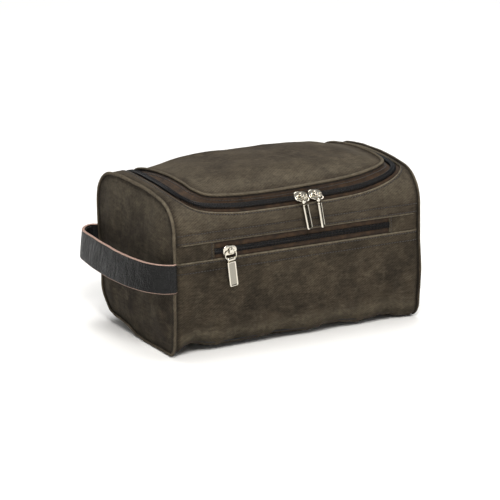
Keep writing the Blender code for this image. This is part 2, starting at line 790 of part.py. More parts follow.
def add_lid_sliders(hinge):
    """The lid's sliders ride on its half of the zip, so they lift with it."""
    for name, lie in LID_SLIDERS.items():
        frame = slider_frame(lie["x"], ZIP_FRONT)
        down_slope = frame.to_3x3() @ Vector((0, -1, 0))
        out = math.degrees(math.atan2(-down_slope.y, -down_slope.z))
        link_turn = turned(out + LID_LINK_TILT, lie["link_yaw"])
        pull_turn = turned(lie["pull_pitch"], lie["pull_yaw"], lie["pull_lean"])
        hang(add_slider_set("lid", f"_{name}", frame, False, link_turn, pull_turn), hinge)


def add_pocket_slider():
    frame = slider_frame(POCKET_SLIDER_X, up_front(POCKET_ZIP_HEIGHT))
    pull_turn = turned(0, 0, POCKET_PULL_LEAN)
    add_slider_set("pocket", "", frame, True, turned(POCKET_LINK_TILT), pull_turn)


# ---------------------------------------------------------------- handle


def make_handle_line():
    """The handle's outer face seen from above, as an arch that stands out from the left end.
    Its plane's first direction is the bag's +Y and its second is the bag's -X."""
    strap = 2 * HANDLE_LAYER + HANDLE_LAYER_GAP
    half = HALF_DEPTH + SEAM_GAP + strap
    form = (half, HANDLE_CORNER_RADIUS, HANDLE_BOW_RADIUS, HALF_LENGTH + HANDLE_REACH)
    spring = arch_spring(*form)
    sewn = HALF_LENGTH - HANDLE_SEWN
    outline = Outline()
    outline.line((-half, sewn), (-half, spring), (-1, 0))
    arch(outline, *form)
    outline.line((half, spring), (half, sewn), (1, 0))
    return outline


def add_handle():
    """Two layers of leather back to back, round the left end and sewn into its front and back seams."""
    outline = make_handle_line()
    stations = outline.stations(0, outline.length, ARC_STEP, FLAT_STEP / 2)
    heights = [HANDLE_TOP, HANDLE_TOP - HANDLE_WIDTH]
    for name, depth in (("handle_outer", 0.0), ("handle_inner", HANDLE_LAYER + HANDLE_LAYER_GAP)):

        def place(distance, z):
            y, reach = outline.at(distance, -depth)
            return Vector((-reach, y, z))

        sheet(name, stations, heights, place, HANDLE_LAYER, "leather")


def main():
    clear_scene()
    add_body_panels()
    add_front_upper_panel()
    add_ends()
    add_linings()
    hinge = add_object("lid_hinge", None, None)
    hinge.matrix_world = Matrix.Translation(on_sleeve(0, HINGE))
    add_lid(hinge)
    add_lid_zip(hinge)
    add_pocket_zip()
    add_lid_sliders(hinge)
    add_pocket_slider()
    add_handle()


main()
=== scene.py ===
"""Shaving kit bag: its canvas, zips, leather and metal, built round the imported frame.

Sizes in this script are millimetres, and mesh_object() turns them to metres.
The bag's long wall is flat cloth bent round a section. A point on it is given as x, the distance
"around" the section, which is 0 where the front wall meets the top and grows over the top to the
back, and "out", the height above the cloth.
"""

import math

import bmesh
import bpy
import numpy as np
from mathutils import Matrix, Vector


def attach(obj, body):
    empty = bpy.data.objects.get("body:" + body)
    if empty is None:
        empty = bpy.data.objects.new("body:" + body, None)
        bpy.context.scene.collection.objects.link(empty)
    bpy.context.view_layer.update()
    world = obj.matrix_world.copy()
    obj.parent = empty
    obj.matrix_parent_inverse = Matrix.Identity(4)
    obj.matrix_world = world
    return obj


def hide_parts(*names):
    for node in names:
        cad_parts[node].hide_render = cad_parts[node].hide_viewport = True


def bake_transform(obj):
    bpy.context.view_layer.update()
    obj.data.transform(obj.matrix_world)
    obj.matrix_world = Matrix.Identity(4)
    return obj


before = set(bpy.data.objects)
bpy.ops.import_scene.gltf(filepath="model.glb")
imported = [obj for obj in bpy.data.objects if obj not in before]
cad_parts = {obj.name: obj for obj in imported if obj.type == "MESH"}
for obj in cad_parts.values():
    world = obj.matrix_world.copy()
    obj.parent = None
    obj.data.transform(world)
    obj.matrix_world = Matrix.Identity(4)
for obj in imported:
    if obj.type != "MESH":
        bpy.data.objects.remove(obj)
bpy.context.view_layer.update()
MM = 0.001

# The section of the long wall: its size, the radii of its corners, crown and feet, the tangent angle where crown
# and corners meet, the height where the corners start, and the distances around where the arcs meet
HALF_DEPTH = 77.0
TOP_HEIGHT = 147.0
CORNER = 32.0
CROWN = 320.0
FRONT_FOOT = 14.0
REAR_FOOT = 24.0
LEAN = math.asin((HALF_DEPTH - CORNER) / (CROWN - CORNER))
SPRING = TOP_HEIGHT - CROWN + (CROWN - CORNER) * math.cos(LEAN)
TOP_START = CORNER * (math.pi / 2 - LEAN)
TOP_END = TOP_START + 2 * CROWN * LEAN
REAR_START = TOP_END + TOP_START
HINGE = TOP_END + 14.5
FOOT_START = FRONT_FOOT - SPRING
BASE_START = FOOT_START - FRONT_FOOT * math.pi / 2
REAR_FOOT_START = REAR_START + SPRING - REAR_FOOT
BASE_END = REAR_FOOT_START + REAR_FOOT * math.pi / 2

# Thickness of the cloth, the height of the tapes' outer face, the piping's radius, and x at the ends' seams
CANVAS = 1.2
LINING = 0.8
TAPE = 0.6
TAPE_FACE = -1.8
PIPING = 1.55
PIPING_SIDES = 14
SEAM_X = 127.6
CORD_X = 128.3
SHARP_EDGE = math.radians(55)

# The lid zip and the lid's piping on the flat cloth, x and around, from the left rear round the front. Both end
# at ZIP_REAR, and their matching points stand opposite each other.
ZIP_REAR = 159.7
BACK_SEAM = 166.5
ZIP_LINE = [
    (-105.3, ZIP_REAR), (-106.6, 141.0), (-109.0, 112.5), (-110.4, 84.0), (-110.7, 60.0), (-108.0, 41.0),
    (-96.0, 29.6), (-66.0, 23.8), (-38.0, 22.6), (-10.5, 22.3), (14.9, 22.5), (40.0, 22.8), (66.1, 24.3),
    (88.0, 28.2), (106.0, 35.0), (115.5, 44.0), (118.5, 58.0), (118.2, 84.0), (116.0, 112.5), (113.0, 141.0),
    (111.3, ZIP_REAR),
]
LID_LINE = [
    (-99.6, ZIP_REAR), (-99.1, 141.5), (-97.0, 113.0), (-95.9, 86.0), (-95.3, 64.0), (-94.3, 49.0),
    (-86.5, 38.2), (-63.0, 33.4), (-37.0, 32.0), (-10.5, 31.6), (15.0, 32.2), (39.0, 33.2), (63.0, 35.0),
    (82.0, 38.4), (98.0, 43.3), (107.3, 50.5), (110.5, 63.0), (111.0, 86.0), (109.5, 113.0), (106.5, 141.0),
    (104.8, ZIP_REAR),
]
LID_PIPING_HEIGHT = [
    -1.6, 1.6, 2.6, 3.0, 3.0, 2.6, 2.2, 2.2, 2.4, 2.6, 2.6, 2.6, 2.8, 3.0, 3.2, 3.4, 3.4, 3.2, 3.0, 1.8, -1.6,
]

# How far the body's canvas is folded back from the middle of the lid zip
BODY_FOLD = 6.8
# Half of the flat chain, from the middle of the coils to where the tape starts to climb or hide
CHAIN_HALF = 4.6
# The coils' turns, and the finer steps of the line that they follow. The two halves start one step apart.
COIL_PITCH = 1.5
COIL_STEP = 0.9
# The height that the lid gains over its piping, and the distance that it takes
LID_CROWN = 6.0
LID_RAMP = 30.0

# The front pocket's zip: its height, its two ends, and the width of a tape
POCKET_ZIP_Z = 95.2
POCKET_LEFT = -88.5
POCKET_RIGHT = 96.0
POCKET_TAPE = 9.6

# Rows of stitches beside the pocket zip, by their distance from the panel's fold, the length of a stitch, and
# the height of the middle of the handle's strap
LOWER_ROWS = (1.9, 9.6)
UPPER_ROWS = (1.9, 9.4)
TAPE_ROW = 3.6
STITCH = 2.9
STRAP_STITCH = 3.0
STRAP_Z = 76

# How far the front's lower edge is drawn up by its gathered seam, along x
FRONT_HEM = [
    (-130, 0.4), (-125, 1.0), (-118, 4.5), (-110, 9.5), (-101, 7.5), (-92, 4.6), (-75, 3.4), (-58, 3.6),
    (-41, 3.8), (-24, 4.8), (-7, 4.0), (10, 2.6), (27, 5.6), (44, 5.4), (61, 3.0), (78, 3.0), (87, 4.6),
    (95, 6.4), (104, 3.6), (112, 1.4), (121, 1.0), (130, 0.6),
]
# How far the left end's lower edge is drawn up, along y
END_HEM = [(-77, 0), (-20, 0), (0, 1), (14, 5), (34, 7.5), (49, 7.5), (59, 9.5), (66, 12), (77, 13)]


# ------------------------------------------------------------------ shape of the cloth


def smooth(share):
    share = np.clip(share, 0.0, 1.0)
    return share * share * (3 - 2 * share)


def bell(distance, width):
    """1 at the middle, and fading to nothing about two widths away."""
    return np.exp(-((distance / width) ** 2))


def section(around, out=0.0):
    """y and z of points on the long wall."""
    a, h = np.broadcast_arrays(np.asarray(around, float), np.asarray(out, float))

    def arc(centre_y, centre_z, radius, angle):
        return centre_y + (radius + h) * np.cos(angle), centre_z + (radius + h) * np.sin(angle)

    pieces = [
        (a < BASE_START, (FRONT_FOOT - HALF_DEPTH + BASE_START - a, -h)),
        (
            a < FOOT_START,
            arc(FRONT_FOOT - HALF_DEPTH, FRONT_FOOT, FRONT_FOOT, math.pi + (FOOT_START - a) / FRONT_FOOT),
        ),
        (a < 0, (-HALF_DEPTH - h, SPRING + a)),
        (a < TOP_START, arc(CORNER - HALF_DEPTH, SPRING, CORNER, math.pi - a / CORNER)),
        (a < TOP_END, arc(0, TOP_HEIGHT - CROWN, CROWN, math.pi / 2 + LEAN - (a - TOP_START) / CROWN)),
        (a < REAR_START, arc(HALF_DEPTH - CORNER, SPRING, CORNER, math.pi / 2 - LEAN - (a - TOP_END) / CORNER)),
        (a < REAR_FOOT_START, (HALF_DEPTH + h, SPRING - (a - REAR_START))),
        (
            a < BASE_END,
            arc(HALF_DEPTH - REAR_FOOT, REAR_FOOT, REAR_FOOT, -(a - REAR_FOOT_START) / REAR_FOOT),
        ),
    ]
    conditions = [condition for condition, _ in pieces]
    y = np.select(conditions, [point[0] for _, point in pieces], HALF_DEPTH - REAR_FOOT - (a - BASE_END))
    z = np.select(conditions, [point[1] for _, point in pieces], -h)
    return y, z


def settle(points):
    """Moves points of the sewn shape to where the soft bag's own weight and its gathered seams leave them."""
    x, y, z = points[..., 0], points[..., 1], points[..., 2]
    # The front's lower edge is gathered, and the back's less so.
    low = smooth((40 - z) / 34)
    hem = np.interp(x, *zip(*FRONT_HEM))
    z = z + hem * low * smooth((-30 - y) / 34)
    z = z + 0.7 * hem * low * smooth((y - 30) / 34)
    # The ends' lower edges rise and their backs are drawn in, more at the left.
    at_end = smooth((np.abs(x) - 88) / 40)
    side = np.where(x < 0, 1.0, 0.6)
    z = z + np.interp(y, *zip(*END_HEM)) * smooth((58 - z) / 56) * at_end * side
    rear = smooth((y - 5) / 65)
    y = y - 7.5 * smooth((112 - z) / 80) * at_end * rear * side
    # The rear shoulders stand up, and the right end leans out.
    shoulder = smooth((np.abs(x) - 92) / 26) * smooth((y - 2) / 40) * smooth((z - 96) / 30)
    z = z + np.where(x < 0, 1.7, 0.2) * shoulder
    x = x + 2.4 * bell(z - 45, 30) * smooth((x - 98) / 30)
    return np.stack([x, y, z], axis=-1)


def on_wall(x, around, out=0.0):
    """Points of the long wall as the bag stands."""
    x, around, out = np.broadcast_arrays(*(np.asarray(v, float) for v in (x, around, out)))
    y, z = section(around, out)
    return settle(np.stack([x, y, z], axis=-1))


def ripples(u, v, seed, shortest=24.0, longest=95.0, count=16):
    """Soft uneven dents, from -1 to 1, made of waves that run every way. The seed fixes them."""
    rng = np.random.default_rng(seed)
    total = np.zeros(np.broadcast(u, v).shape)
    weight = 0.0
    for _ in range(count):
        length = rng.uniform(shortest, longest)
        way = rng.uniform(0, math.pi)
        phase = rng.uniform(0, 2 * math.pi)
        size = length / longest
        total = total + size * np.sin(2 * math.pi * (u * math.cos(way) + v * math.sin(way)) / length + phase)
        weight += size
    return total / weight * 2.2


def fold(u, v, start, end, width, height):
    """A soft fold along a line: a rounded ridge, or a dent where height is negative, that fades at both ends."""
    a, b = np.array(start, float), np.array(end, float)
    along = b - a
    length = np.hypot(*along)
    along = along / length
    run = ((u - a[0]) * along[0] + (v - a[1]) * along[1]) / length
    off = (v - a[1]) * along[0] - (u - a[0]) * along[1]
    fade = smooth((run + 0.18) / 0.4) * smooth((1.18 - run) / 0.4)
    return height * bell(off, width) * fade


def folds(u, v, table):
    """Several folds together. A row of the table is a fold's start, end, width and height."""
    return sum(fold(u, v, *row) for row in table)


def catmull(points, t):
    """Points of a smooth curve through the given ones. t counts them from 0."""
    points = np.asarray(points, float)
    if points.ndim == 1:
        points = points[:, None]
    t = np.clip(np.asarray(t, float), 0, len(points) - 1)
    i = np.minimum(t.astype(int), len(points) - 2)
    f = (t - i)[..., None]
    p0, p1 = points[np.maximum(i - 1, 0)], points[i]
    p2, p3 = points[i + 1], points[np.minimum(i + 2, len(points) - 1)]
    square, cube = 2 * p0 - 5 * p1 + 4 * p2 - p3, 3 * p1 - p0 - 3 * p2 + p3
    return 0.5 * (2 * p1 + (p2 - p0) * f + square * f**2 + cube * f**3)


def even_steps(points, step):
    """Values of t that step evenly along the smooth curve through points."""
    t = np.linspace(0, len(points) - 1, 4000)
    run = np.concatenate([[0], np.cumsum(np.linalg.norm(np.diff(catmull(points, t), axis=0), axis=1))])
    return np.interp(np.linspace(0, run[-1], max(2, round(run[-1] / step) + 1)), run, t)


def normals_from(line):
    """Unit normals of a flat line, pointing to its left as it runs."""
    way = np.gradient(line, axis=0)
    way = way / np.linalg.norm(way, axis=1)[:, None]
    return np.stack([-way[:, 1], way[:, 0]], axis=1)


def distance_along(points):
    return np.concatenate([[0], np.cumsum(np.linalg.norm(np.diff(points, axis=0), axis=1))])


# ------------------------------------------------------------------ meshes


def mesh_object(name, points, faces, uv, finishes, wear_and_shade=None, face_finish=None, closed=False):
    """An object from points in millimetres. uv is in millimetres of cloth, and is stored in centimetres."""
    mesh = bpy.data.meshes.new(name)
    mesh.from_pydata((np.asarray(points).reshape(-1, 3) * MM).tolist(), [], [list(map(int, f)) for f in faces])
    layer = mesh.uv_layers.new(name="cloth")
    corners = np.empty(len(mesh.loops), np.int32)
    mesh.loops.foreach_get("vertex_index", corners)
    flat = (np.asarray(uv, float).reshape(-1, 2) * 0.1)[corners]
    layer.data.foreach_set("uv", flat.astype(np.float32).ravel())
    worn = mesh.attributes.new("worn", "FLOAT", "POINT")
    values = np.zeros(len(mesh.vertices)) if wear_and_shade is None else np.asarray(wear_and_shade, float).ravel()
    worn.data.foreach_set("value", values.astype(np.float32))
    for finish in finishes:
        mesh.materials.append(finish)
    if face_finish is not None:
        mesh.polygons.foreach_set("material_index", np.asarray(face_finish, np.int32))
    obj = bpy.data.objects.new(name, mesh)
    bpy.context.scene.collection.objects.link(obj)
    if closed:
        recalculate(mesh)
    mesh.shade_smooth()
    return obj


def recalculate(mesh):
    bm = bmesh.new()
    bm.from_mesh(mesh)
    bmesh.ops.recalc_face_normals(bm, faces=bm.faces)
    bm.to_mesh(mesh)
    bm.free()


def grid_faces(rows, columns, row_loop=False, column_loop=False):
    i = np.arange(rows if row_loop else rows - 1)[:, None]
    j = np.arange(columns if column_loop else columns - 1)[None, :]
    a = i * columns + j
    b = ((i + 1) % rows) * columns + j
    c = ((i + 1) % rows) * columns + (j + 1) % columns
    d = i * columns + (j + 1) % columns
    return np.stack(np.broadcast_arrays(a, b, c, d), axis=-1).reshape(-1, 4)


# A point in the middle of the bag, away from which every sheet's outer face looks
INSIDE = np.array([0.0, 0.0, 72.0])


def applied(obj):
    """Applies an object's modifiers."""
    graph = bpy.context.evaluated_depsgraph_get()
    mesh = bpy.data.meshes.new_from_object(obj.evaluated_get(graph))
    old = obj.data
    obj.modifiers.clear()
    obj.data = mesh
    mesh.name = obj.name
    bpy.data.meshes.remove(old)
    return obj


def sheet(name, points, uv, finish, thickness, wear_and_shade=None):
    """Cloth from a grid of points, with its outer face on them and its thickness towards the bag's inside."""
    rows, columns = points.shape[:2]
    faces = grid_faces(rows, columns)
    flat = points.reshape(-1, 3)
    a, b, c, d = (flat[faces[:, k]] for k in range(4))
    facing = (np.cross(c - a, d - b) * ((a + c) / 2 - INSIDE)).sum()
    if facing < 0:
        faces = faces[:, ::-1]
    obj = mesh_object(name, points, faces, uv, [finish], wear_and_shade)
    wall = obj.modifiers.new("thickness", "SOLIDIFY")
    wall.thickness = thickness * MM
    wall.offset = -1
    return applied(obj)


def tube(name, path, radius, sides, finish, closed=False, wear_and_shade=None, start=None, top=None):
    """A round cord along a path, with its ends filled. With top, the way out of the bag at each point of the path,
    the cord is painted paler along its top, partly rubbed wear and partly a painted highlight,
    and darker down in its seam, a painted shade."""
    path = np.asarray(path, float)
    count = len(path)
    way = np.roll(path, -1, 0) - np.roll(path, 1, 0) if closed else np.gradient(path, axis=0)
    way = way / np.linalg.norm(way, axis=1)[:, None]
    side = np.array(start if start is not None else (0.0, 0.0, 1.0), float)
    frames = []
    for k in range(count):
        side = side - way[k] * side.dot(way[k])
        if np.linalg.norm(side) < 1e-6:
            side = np.cross(way[k], (0.3, 0.9, 0.2))
        side = side / np.linalg.norm(side)
        frames.append((side, np.cross(way[k], side)))
    angle = np.arange(sides) * 2 * math.pi / sides
    size = np.broadcast_to(np.asarray(radius, float), (count,))
    rings = np.array([
        path[k] + size[k] * (np.cos(angle)[:, None] * frames[k][0] + np.sin(angle)[:, None] * frames[k][1])
        for k in range(count)
    ])
    run = distance_along(path)
    uv = np.stack(np.broadcast_arrays(run[:, None], (angle * size.mean())[None, :]), axis=-1)
    faces = [tuple(f) for f in grid_faces(count, sides, closed, True)]
    if not closed:
        faces += [tuple(range(sides)), tuple((count - 1) * sides + k for k in reversed(range(sides)))]
    worn = None if wear_and_shade is None else np.repeat(np.broadcast_to(wear_and_shade, (count,)), sides)
    if top is not None:
        out = ((rings - path[:, None]) * top[:, None]).sum(-1).ravel() / size.mean()
        # Paler along the top, partly rubbed wear and partly a painted highlight; darker down in the seam, a painted
        # shade.
        worn = worn * smooth(out) - 0.95 * (1 - smooth((out + 0.35) / 0.7))
    return mesh_object(name, rings, faces, uv, [finish], worn, closed=True)


def place(obj, body, slot, *nodes):
    """Ties a finished piece to its body and the CAD nodes that it stands for. slot, its finish, is not used."""
    obj.data.set_sharp_from_angle(angle=SHARP_EDGE)
    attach(obj, body)
    if nodes:
        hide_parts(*nodes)
    return obj


# ------------------------------------------------------------------ materials


def linear(code):
    """An sRGB hex colour as linear red, green, blue and alpha."""
    channels = [int(code[i : i + 2], 16) / 255 for i in (1, 3, 5)]
    return (*(c / 12.92 if c <= 0.04045 else ((c + 0.055) / 1.055) ** 2.4 for c in channels), 1.0)


def add(tree, kind, settings=None, **inputs):
    """Adds a node. An input takes a value or another node's output; _0 and so on name it by its number."""
    node = tree.nodes.new(kind)
    for key, value in (settings or {}).items():
        setattr(node, key, value)
    for key, value in inputs.items():
        socket = node.inputs[int(key[1:]) if key[0] == "_" else key.replace("_", " ")]
        if isinstance(value, bpy.types.NodeSocket):
            tree.links.new(value, socket)
        else:
            socket.default_value = value
    return node


def new_finish(name, **values):
    """A Principled material with its plain values. Returns the material, its tree and its shader."""
    finish = bpy.data.materials.new(name)
    finish.use_nodes = True
    tree = finish.node_tree
    shader = tree.nodes["Principled BSDF"]
    for key, value in values.items():
        shader.inputs[key.replace("_", " ")].default_value = value
    return finish, tree, shader


def cloth_mm(tree):
    """The cloth's own coordinates in millimetres."""
    uv = add(tree, "ShaderNodeUVMap", {"uv_map": "cloth"}).outputs["UV"]
    return stretched(tree, uv, (10, 10, 1))


def stretched(tree, vector, scale):
    return add(tree, "ShaderNodeMapping", {"vector_type": "POINT"}, Vector=vector, Scale=scale).outputs[0]


def noise_of(tree, vector, period, detail=3.0, rough=0.5):
    """Noise whose blotches are about period across, in the vector's unit."""
    return add(
        tree, "ShaderNodeTexNoise", Vector=vector, Scale=1 / period, Detail=detail, Roughness=rough
    ).outputs["Fac"]


def mix_colour(tree, share, first, second):
    return add(tree, "ShaderNodeMix", {"data_type": "RGBA"}, _0=share, _6=first, _7=second).outputs[2]


def scaled(tree, colour, gain):
    return add(tree, "ShaderNodeVectorMath", {"operation": "SCALE"}, Vector=colour, Scale=gain).outputs[0]


def wear_and_shade_of(tree):
    """How rubbed pale the cloth is here, above 0, partly a painted highlight, and how darkened by painted shade,
    below 0.
    """
    return add(tree, "ShaderNodeAttribute", {"attribute_name": "worn"}).outputs["Fac"]


def place_in_bag(tree):
    return add(tree, "ShaderNodeTexCoord").outputs["Object"]


def link(tree, shader, **outputs):
    """Links outputs of nodes to the shader's sockets."""
    for key, output in outputs.items():
        tree.links.new(output, shader.inputs[key.replace("_", " ")])


def span(tree, value, low, high, to_low=0.0, to_high=1.0):
    settings = {"clamp": True}
    return add(tree, "ShaderNodeMapRange", settings, _0=value, _1=low, _2=high, _3=to_low, _4=to_high).outputs[0]


def maths(tree, operation, first, second=0.0):
    return add(tree, "ShaderNodeMath", {"operation": operation}, _0=first, _1=second).outputs[0]


def bump(tree, height, strength, depth_mm, normal=None):
    inputs = {"Strength": strength, "Distance": depth_mm * MM, "Height": height}
    if normal is not None:
        inputs["Normal"] = normal
    return add(tree, "ShaderNodeBump", **inputs).outputs[0]


def washed_canvas(name, dark, mid, pale, seed, creasing=1.0):
    """Heavy cotton twill, dyed dark olive brown and garment washed: matt, with cloudy dye, pale rubbed folds that are
    partly painted highlights, and painted shade darkening its seams, stitch rows and folds.
    Real wales are 1.2 mm apart; they are drawn 1.9 mm apart so that they show."""
    finish, tree, shader = new_finish(
        name, Roughness=0.93, Specular_IOR_Level=0.12, Sheen_Weight=0.05, Sheen_Roughness=0.45,
        Sheen_Tint=linear("#b7aa96"),
    )
    flat = cloth_mm(tree)
    elsewhere = (seed * 37.0, seed * 11.0, seed)
    shifted = add(tree, "ShaderNodeVectorMath", {"operation": "ADD"}, _0=flat, _1=elsewhere).outputs[0]
    clouds = noise_of(tree, shifted, 42.0, 4.0, 0.62)
    patches = noise_of(tree, shifted, 13.0, 3.0, 0.6)
    slub = stretched(tree, shifted, (0.22, 1.0, 1.0))
    threads = noise_of(tree, slub, 1.9, 2.0, 0.6)
    fleck = noise_of(tree, shifted, 2.1, 3.0, 0.7)
    turned = add(tree, "ShaderNodeMapping", Vector=shifted, Rotation=(0, 0, math.radians(58))).outputs[0]
    twill = add(
        tree,
        "ShaderNodeTexWave",
        {"wave_type": "BANDS", "bands_direction": "X", "wave_profile": "SIN"},
        Vector=turned,
        Scale=math.pi / (10 * 1.9),
        Distortion=1.4,
        Detail=2.0,
        Detail_Scale=1.6,
    ).outputs["Fac"]
    colour = mix_colour(tree, span(tree, clouds, 0.34, 0.62), linear(dark), linear(mid))
    colour = mix_colour(tree, span(tree, patches, 0.50, 0.80, 0.0, 0.55), colour, linear(pale))
    light = maths(tree, "ADD", span(tree, twill, 0.0, 1.0, -0.16, 0.16), span(tree, threads, 0.3, 0.7, -0.26, 0.26))
    light = maths(tree, "ADD", light, span(tree, fleck, 0.3, 0.7, -0.24, 0.28))
    gain = maths(tree, "ADD", light, 1.0)
    colour = scaled(tree, colour, gain)
    worn = wear_and_shade_of(tree)
    # Rubbed pale where the attribute is above 0: wear, partly a painted highlight along fold edges and piping tops.
    breaks = span(tree, noise_of(tree, shifted, 3.5, 3.0, 0.6), 0.30, 0.62, 0.35, 1.0)
    broken = maths(tree, "MULTIPLY", span(tree, worn, 0.0, 1.0), breaks)
    colour = mix_colour(tree, maths(tree, "MULTIPLY", broken, 0.75), colour, linear("#6f6757"))
    # Painted shade: below 0 the attribute darkens the cloth towards near black, in seam grooves, stitch rows and
    # under folds.
    painted_shade = span(tree, worn, -1.0, 0.0, 0.75, 0.0)
    colour = mix_colour(tree, painted_shade, colour, linear("#0c0a08"))
    link(tree, shader, Base_Color=colour)
    height = maths(tree, "ADD", maths(tree, "MULTIPLY", twill, 0.8), maths(tree, "MULTIPLY", threads, 0.8))
    height = maths(tree, "ADD", height, maths(tree, "MULTIPLY", fleck, 0.5))
    creases = noise_of(tree, stretched(tree, shifted, (1.0, 0.55, 1.0)), 17.0, 4.0, 0.55)
    normal = bump(tree, creases, 0.55 * creasing, 2.4)
    link(tree, shader, Normal=bump(tree, height, 0.75, 0.34, normal))
    return finish


def zip_tape():
    """Woven polyester zip tape, dyed brown: fine ribs run along it, and it is darkened by painted shade under the
    canvas folds and the piping and beside the coil.
    """
    finish, tree, shader = new_finish(
        "woven_polyester_zip_tape", Roughness=0.82, Specular_IOR_Level=0.25, Sheen_Weight=0.06, Sheen_Roughness=0.4
    )
    flat = cloth_mm(tree)
    across = add(tree, "ShaderNodeSeparateXYZ", _0=flat).outputs["Y"]
    ribs = maths(tree, "SINE", maths(tree, "MULTIPLY", across, 2 * math.pi / 1.15))
    weave = noise_of(tree, stretched(tree, flat, (1.0, 0.35, 1.0)), 0.8, 2.0, 0.6)
    clouds = noise_of(tree, flat, 9.0, 3.0, 0.6)
    colour = mix_colour(tree, span(tree, clouds, 0.35, 0.7), linear("#241a11"), linear("#402f1f"))
    light = maths(tree, "ADD", span(tree, ribs, -1.0, 1.0, 0.72, 1.16), span(tree, weave, 0.3, 0.7, -0.2, 0.22))
    colour = scaled(tree, colour, light)
    worn = wear_and_shade_of(tree)
    # Painted shade: below 0 the attribute darkens the tape under folds and piping.
    colour = mix_colour(tree, span(tree, worn, -1.0, 0.0, 0.85, 0.0), colour, linear("#0d0b0a"))
    link(tree, shader, Base_Color=colour)
    height = maths(tree, "ADD", maths(tree, "MULTIPLY", ribs, 0.5), weave)
    link(tree, shader, Normal=bump(tree, height, 0.6, 0.25))
    return finish


def coil_nylon():
    """Nylon monofilament, wound to a coil and dyed blue-black: smooth, with small bright lights on each turn."""
    finish, tree, shader = new_finish("nylon_coil", Roughness=0.42, IOR=1.53, Specular_IOR_Level=0.2)
    tint = noise_of(tree, cloth_mm(tree), 4.0)
    link(tree, shader, Base_Color=mix_colour(tree, tint, linear("#030304"), linear("#090a0d")))
    return finish


def grained_leather():
    """Chrome-tanned cowhide, dyed black and finished with a thin semi-matt resin: pebbled grain about 1 mm across."""
    finish, tree, shader = new_finish("grained_cowhide", Roughness=0.42, IOR=1.48, Specular_IOR_Level=0.26)
    flat = cloth_mm(tree)
    bent = add(
        tree, "ShaderNodeVectorMath", {"operation": "ADD"}, _0=flat,
        _1=add(tree, "ShaderNodeTexNoise", Vector=flat, Scale=0.35, Detail=2.0).outputs["Color"],
    ).outputs[0]
    pebbles = add(tree, "ShaderNodeTexVoronoi", {"feature": "SMOOTH_F1"}, Vector=bent, Scale=0.8, Smoothness=0.35)
    pebble = pebbles.outputs["Distance"]
    broad = noise_of(tree, flat, 14.0, 3.0, 0.6)
    colour = mix_colour(tree, span(tree, pebble, 0.1, 0.65), linear("#080808"), linear("#020202"))
    colour = mix_colour(tree, span(tree, broad, 0.45, 0.75, 0.0, 0.5), colour, linear("#10100f"))
    link(tree, shader, Base_Color=colour)
    rough = maths(tree, "ADD", span(tree, pebble, 0.1, 0.7, 0.28, 0.50), span(tree, broad, 0.3, 0.7, -0.04, 0.08))
    link(tree, shader, Roughness=rough)
    creases = noise_of(tree, stretched(tree, flat, (1.0, 0.45, 1.0)), 6.0, 4.0, 0.6)
    link(tree, shader, Normal=bump(tree, pebble, 0.9, -0.6, bump(tree, creases, 0.9, 2.2)))
    return finish


def cut_leather():
    """The strap's cut edge: undyed corium between two dyed faces, fuzzy and a warm pinkish tan."""
    finish, tree, shader = new_finish("cut_leather_edge", Roughness=0.88)
    fibres = noise_of(tree, cloth_mm(tree), 1.2, 3.0, 0.7)
    colour = mix_colour(tree, span(tree, fibres, 0.3, 0.7), linear("#74594f"), linear("#b39788"))
    link(tree, shader, Base_Color=colour)
    link(tree, shader, Normal=bump(tree, fibres, 0.5, 0.3))
    return finish


def nickel_plate(name, colour, blotch, roughness, relief):
    """Zinc die casting, tumbled and plated with bright nickel, with faint marks about blotch metres across."""
    finish, tree, shader = new_finish(name, Metallic=1.0, Base_Color=linear(colour))
    marks = noise_of(tree, place_in_bag(tree), blotch, 3.0, 0.6)
    link(tree, shader, Roughness=span(tree, marks, 0.3, 0.75, *roughness), Normal=bump(tree, marks, *relief))
    return finish


def lining_cloth():
    """Plain-woven black polyester lining, calendered: thin, with a slight sheen and fine cross threads."""
    finish, tree, shader = new_finish(
        "polyester_lining", Roughness=0.55, Specular_IOR_Level=0.25, Sheen_Weight=0.05, Sheen_Roughness=0.35
    )
    flat = cloth_mm(tree)
    weave = noise_of(tree, stretched(tree, flat, (1.0, 0.4, 1.0)), 0.9, 2.0, 0.6)
    clouds = noise_of(tree, flat, 30.0, 4.0, 0.6)
    colour = mix_colour(tree, span(tree, clouds, 0.3, 0.7), linear("#0c0c0e"), linear("#161619"))
    colour = mix_colour(tree, span(tree, weave, 0.35, 0.7, 0.0, 0.35), colour, linear("#242428"))
    link(tree, shader, Base_Color=colour)
    creases = noise_of(tree, flat, 26.0, 4.0, 0.6)
    link(tree, shader, Normal=bump(tree, weave, 0.35, 0.2, bump(tree, creases, 0.6, 3.0)))
    return finish


def spun_thread(name, dark, pale, **values):
    """Spun polyester thread, with its twist."""
    finish, tree, shader = new_finish(name, **values)
    twist = noise_of(tree, place_in_bag(tree), 0.0009, 2.0)
    link(tree, shader, Base_Color=mix_colour(tree, twist, linear(dark), linear(pale)))
    return finish


# Washed olive-brown cotton twill. Each panel was cut from another part of the dyed cloth.
FRONT_CANVAS = washed_canvas("washed_twill_front", "#241f18", "#383127", "#4e4639", 1)
TOP_CANVAS = washed_canvas("washed_twill_lid", "#2c261f", "#3c352b", "#4f473b", 2, creasing=0.9)
END_CANVAS = washed_canvas("washed_twill_end", "#211c17", "#363027", "#4c4538", 3, creasing=1.5)
PIPING_CANVAS = washed_canvas("washed_twill_piping", "#312b23", "#443c31", "#5b5244", 4, creasing=0.5)
ZIP_TAPE = zip_tape()
COIL = coil_nylon()
LEATHER = grained_leather()
LEATHER_EDGE = cut_leather()
# Bright nickel plate, a warm mirror with faint wiping marks
NICKEL = nickel_plate("bright_nickel_plate", "#cfc9bb", 0.0035, (0.09, 0.22), (0.12, 0.15))
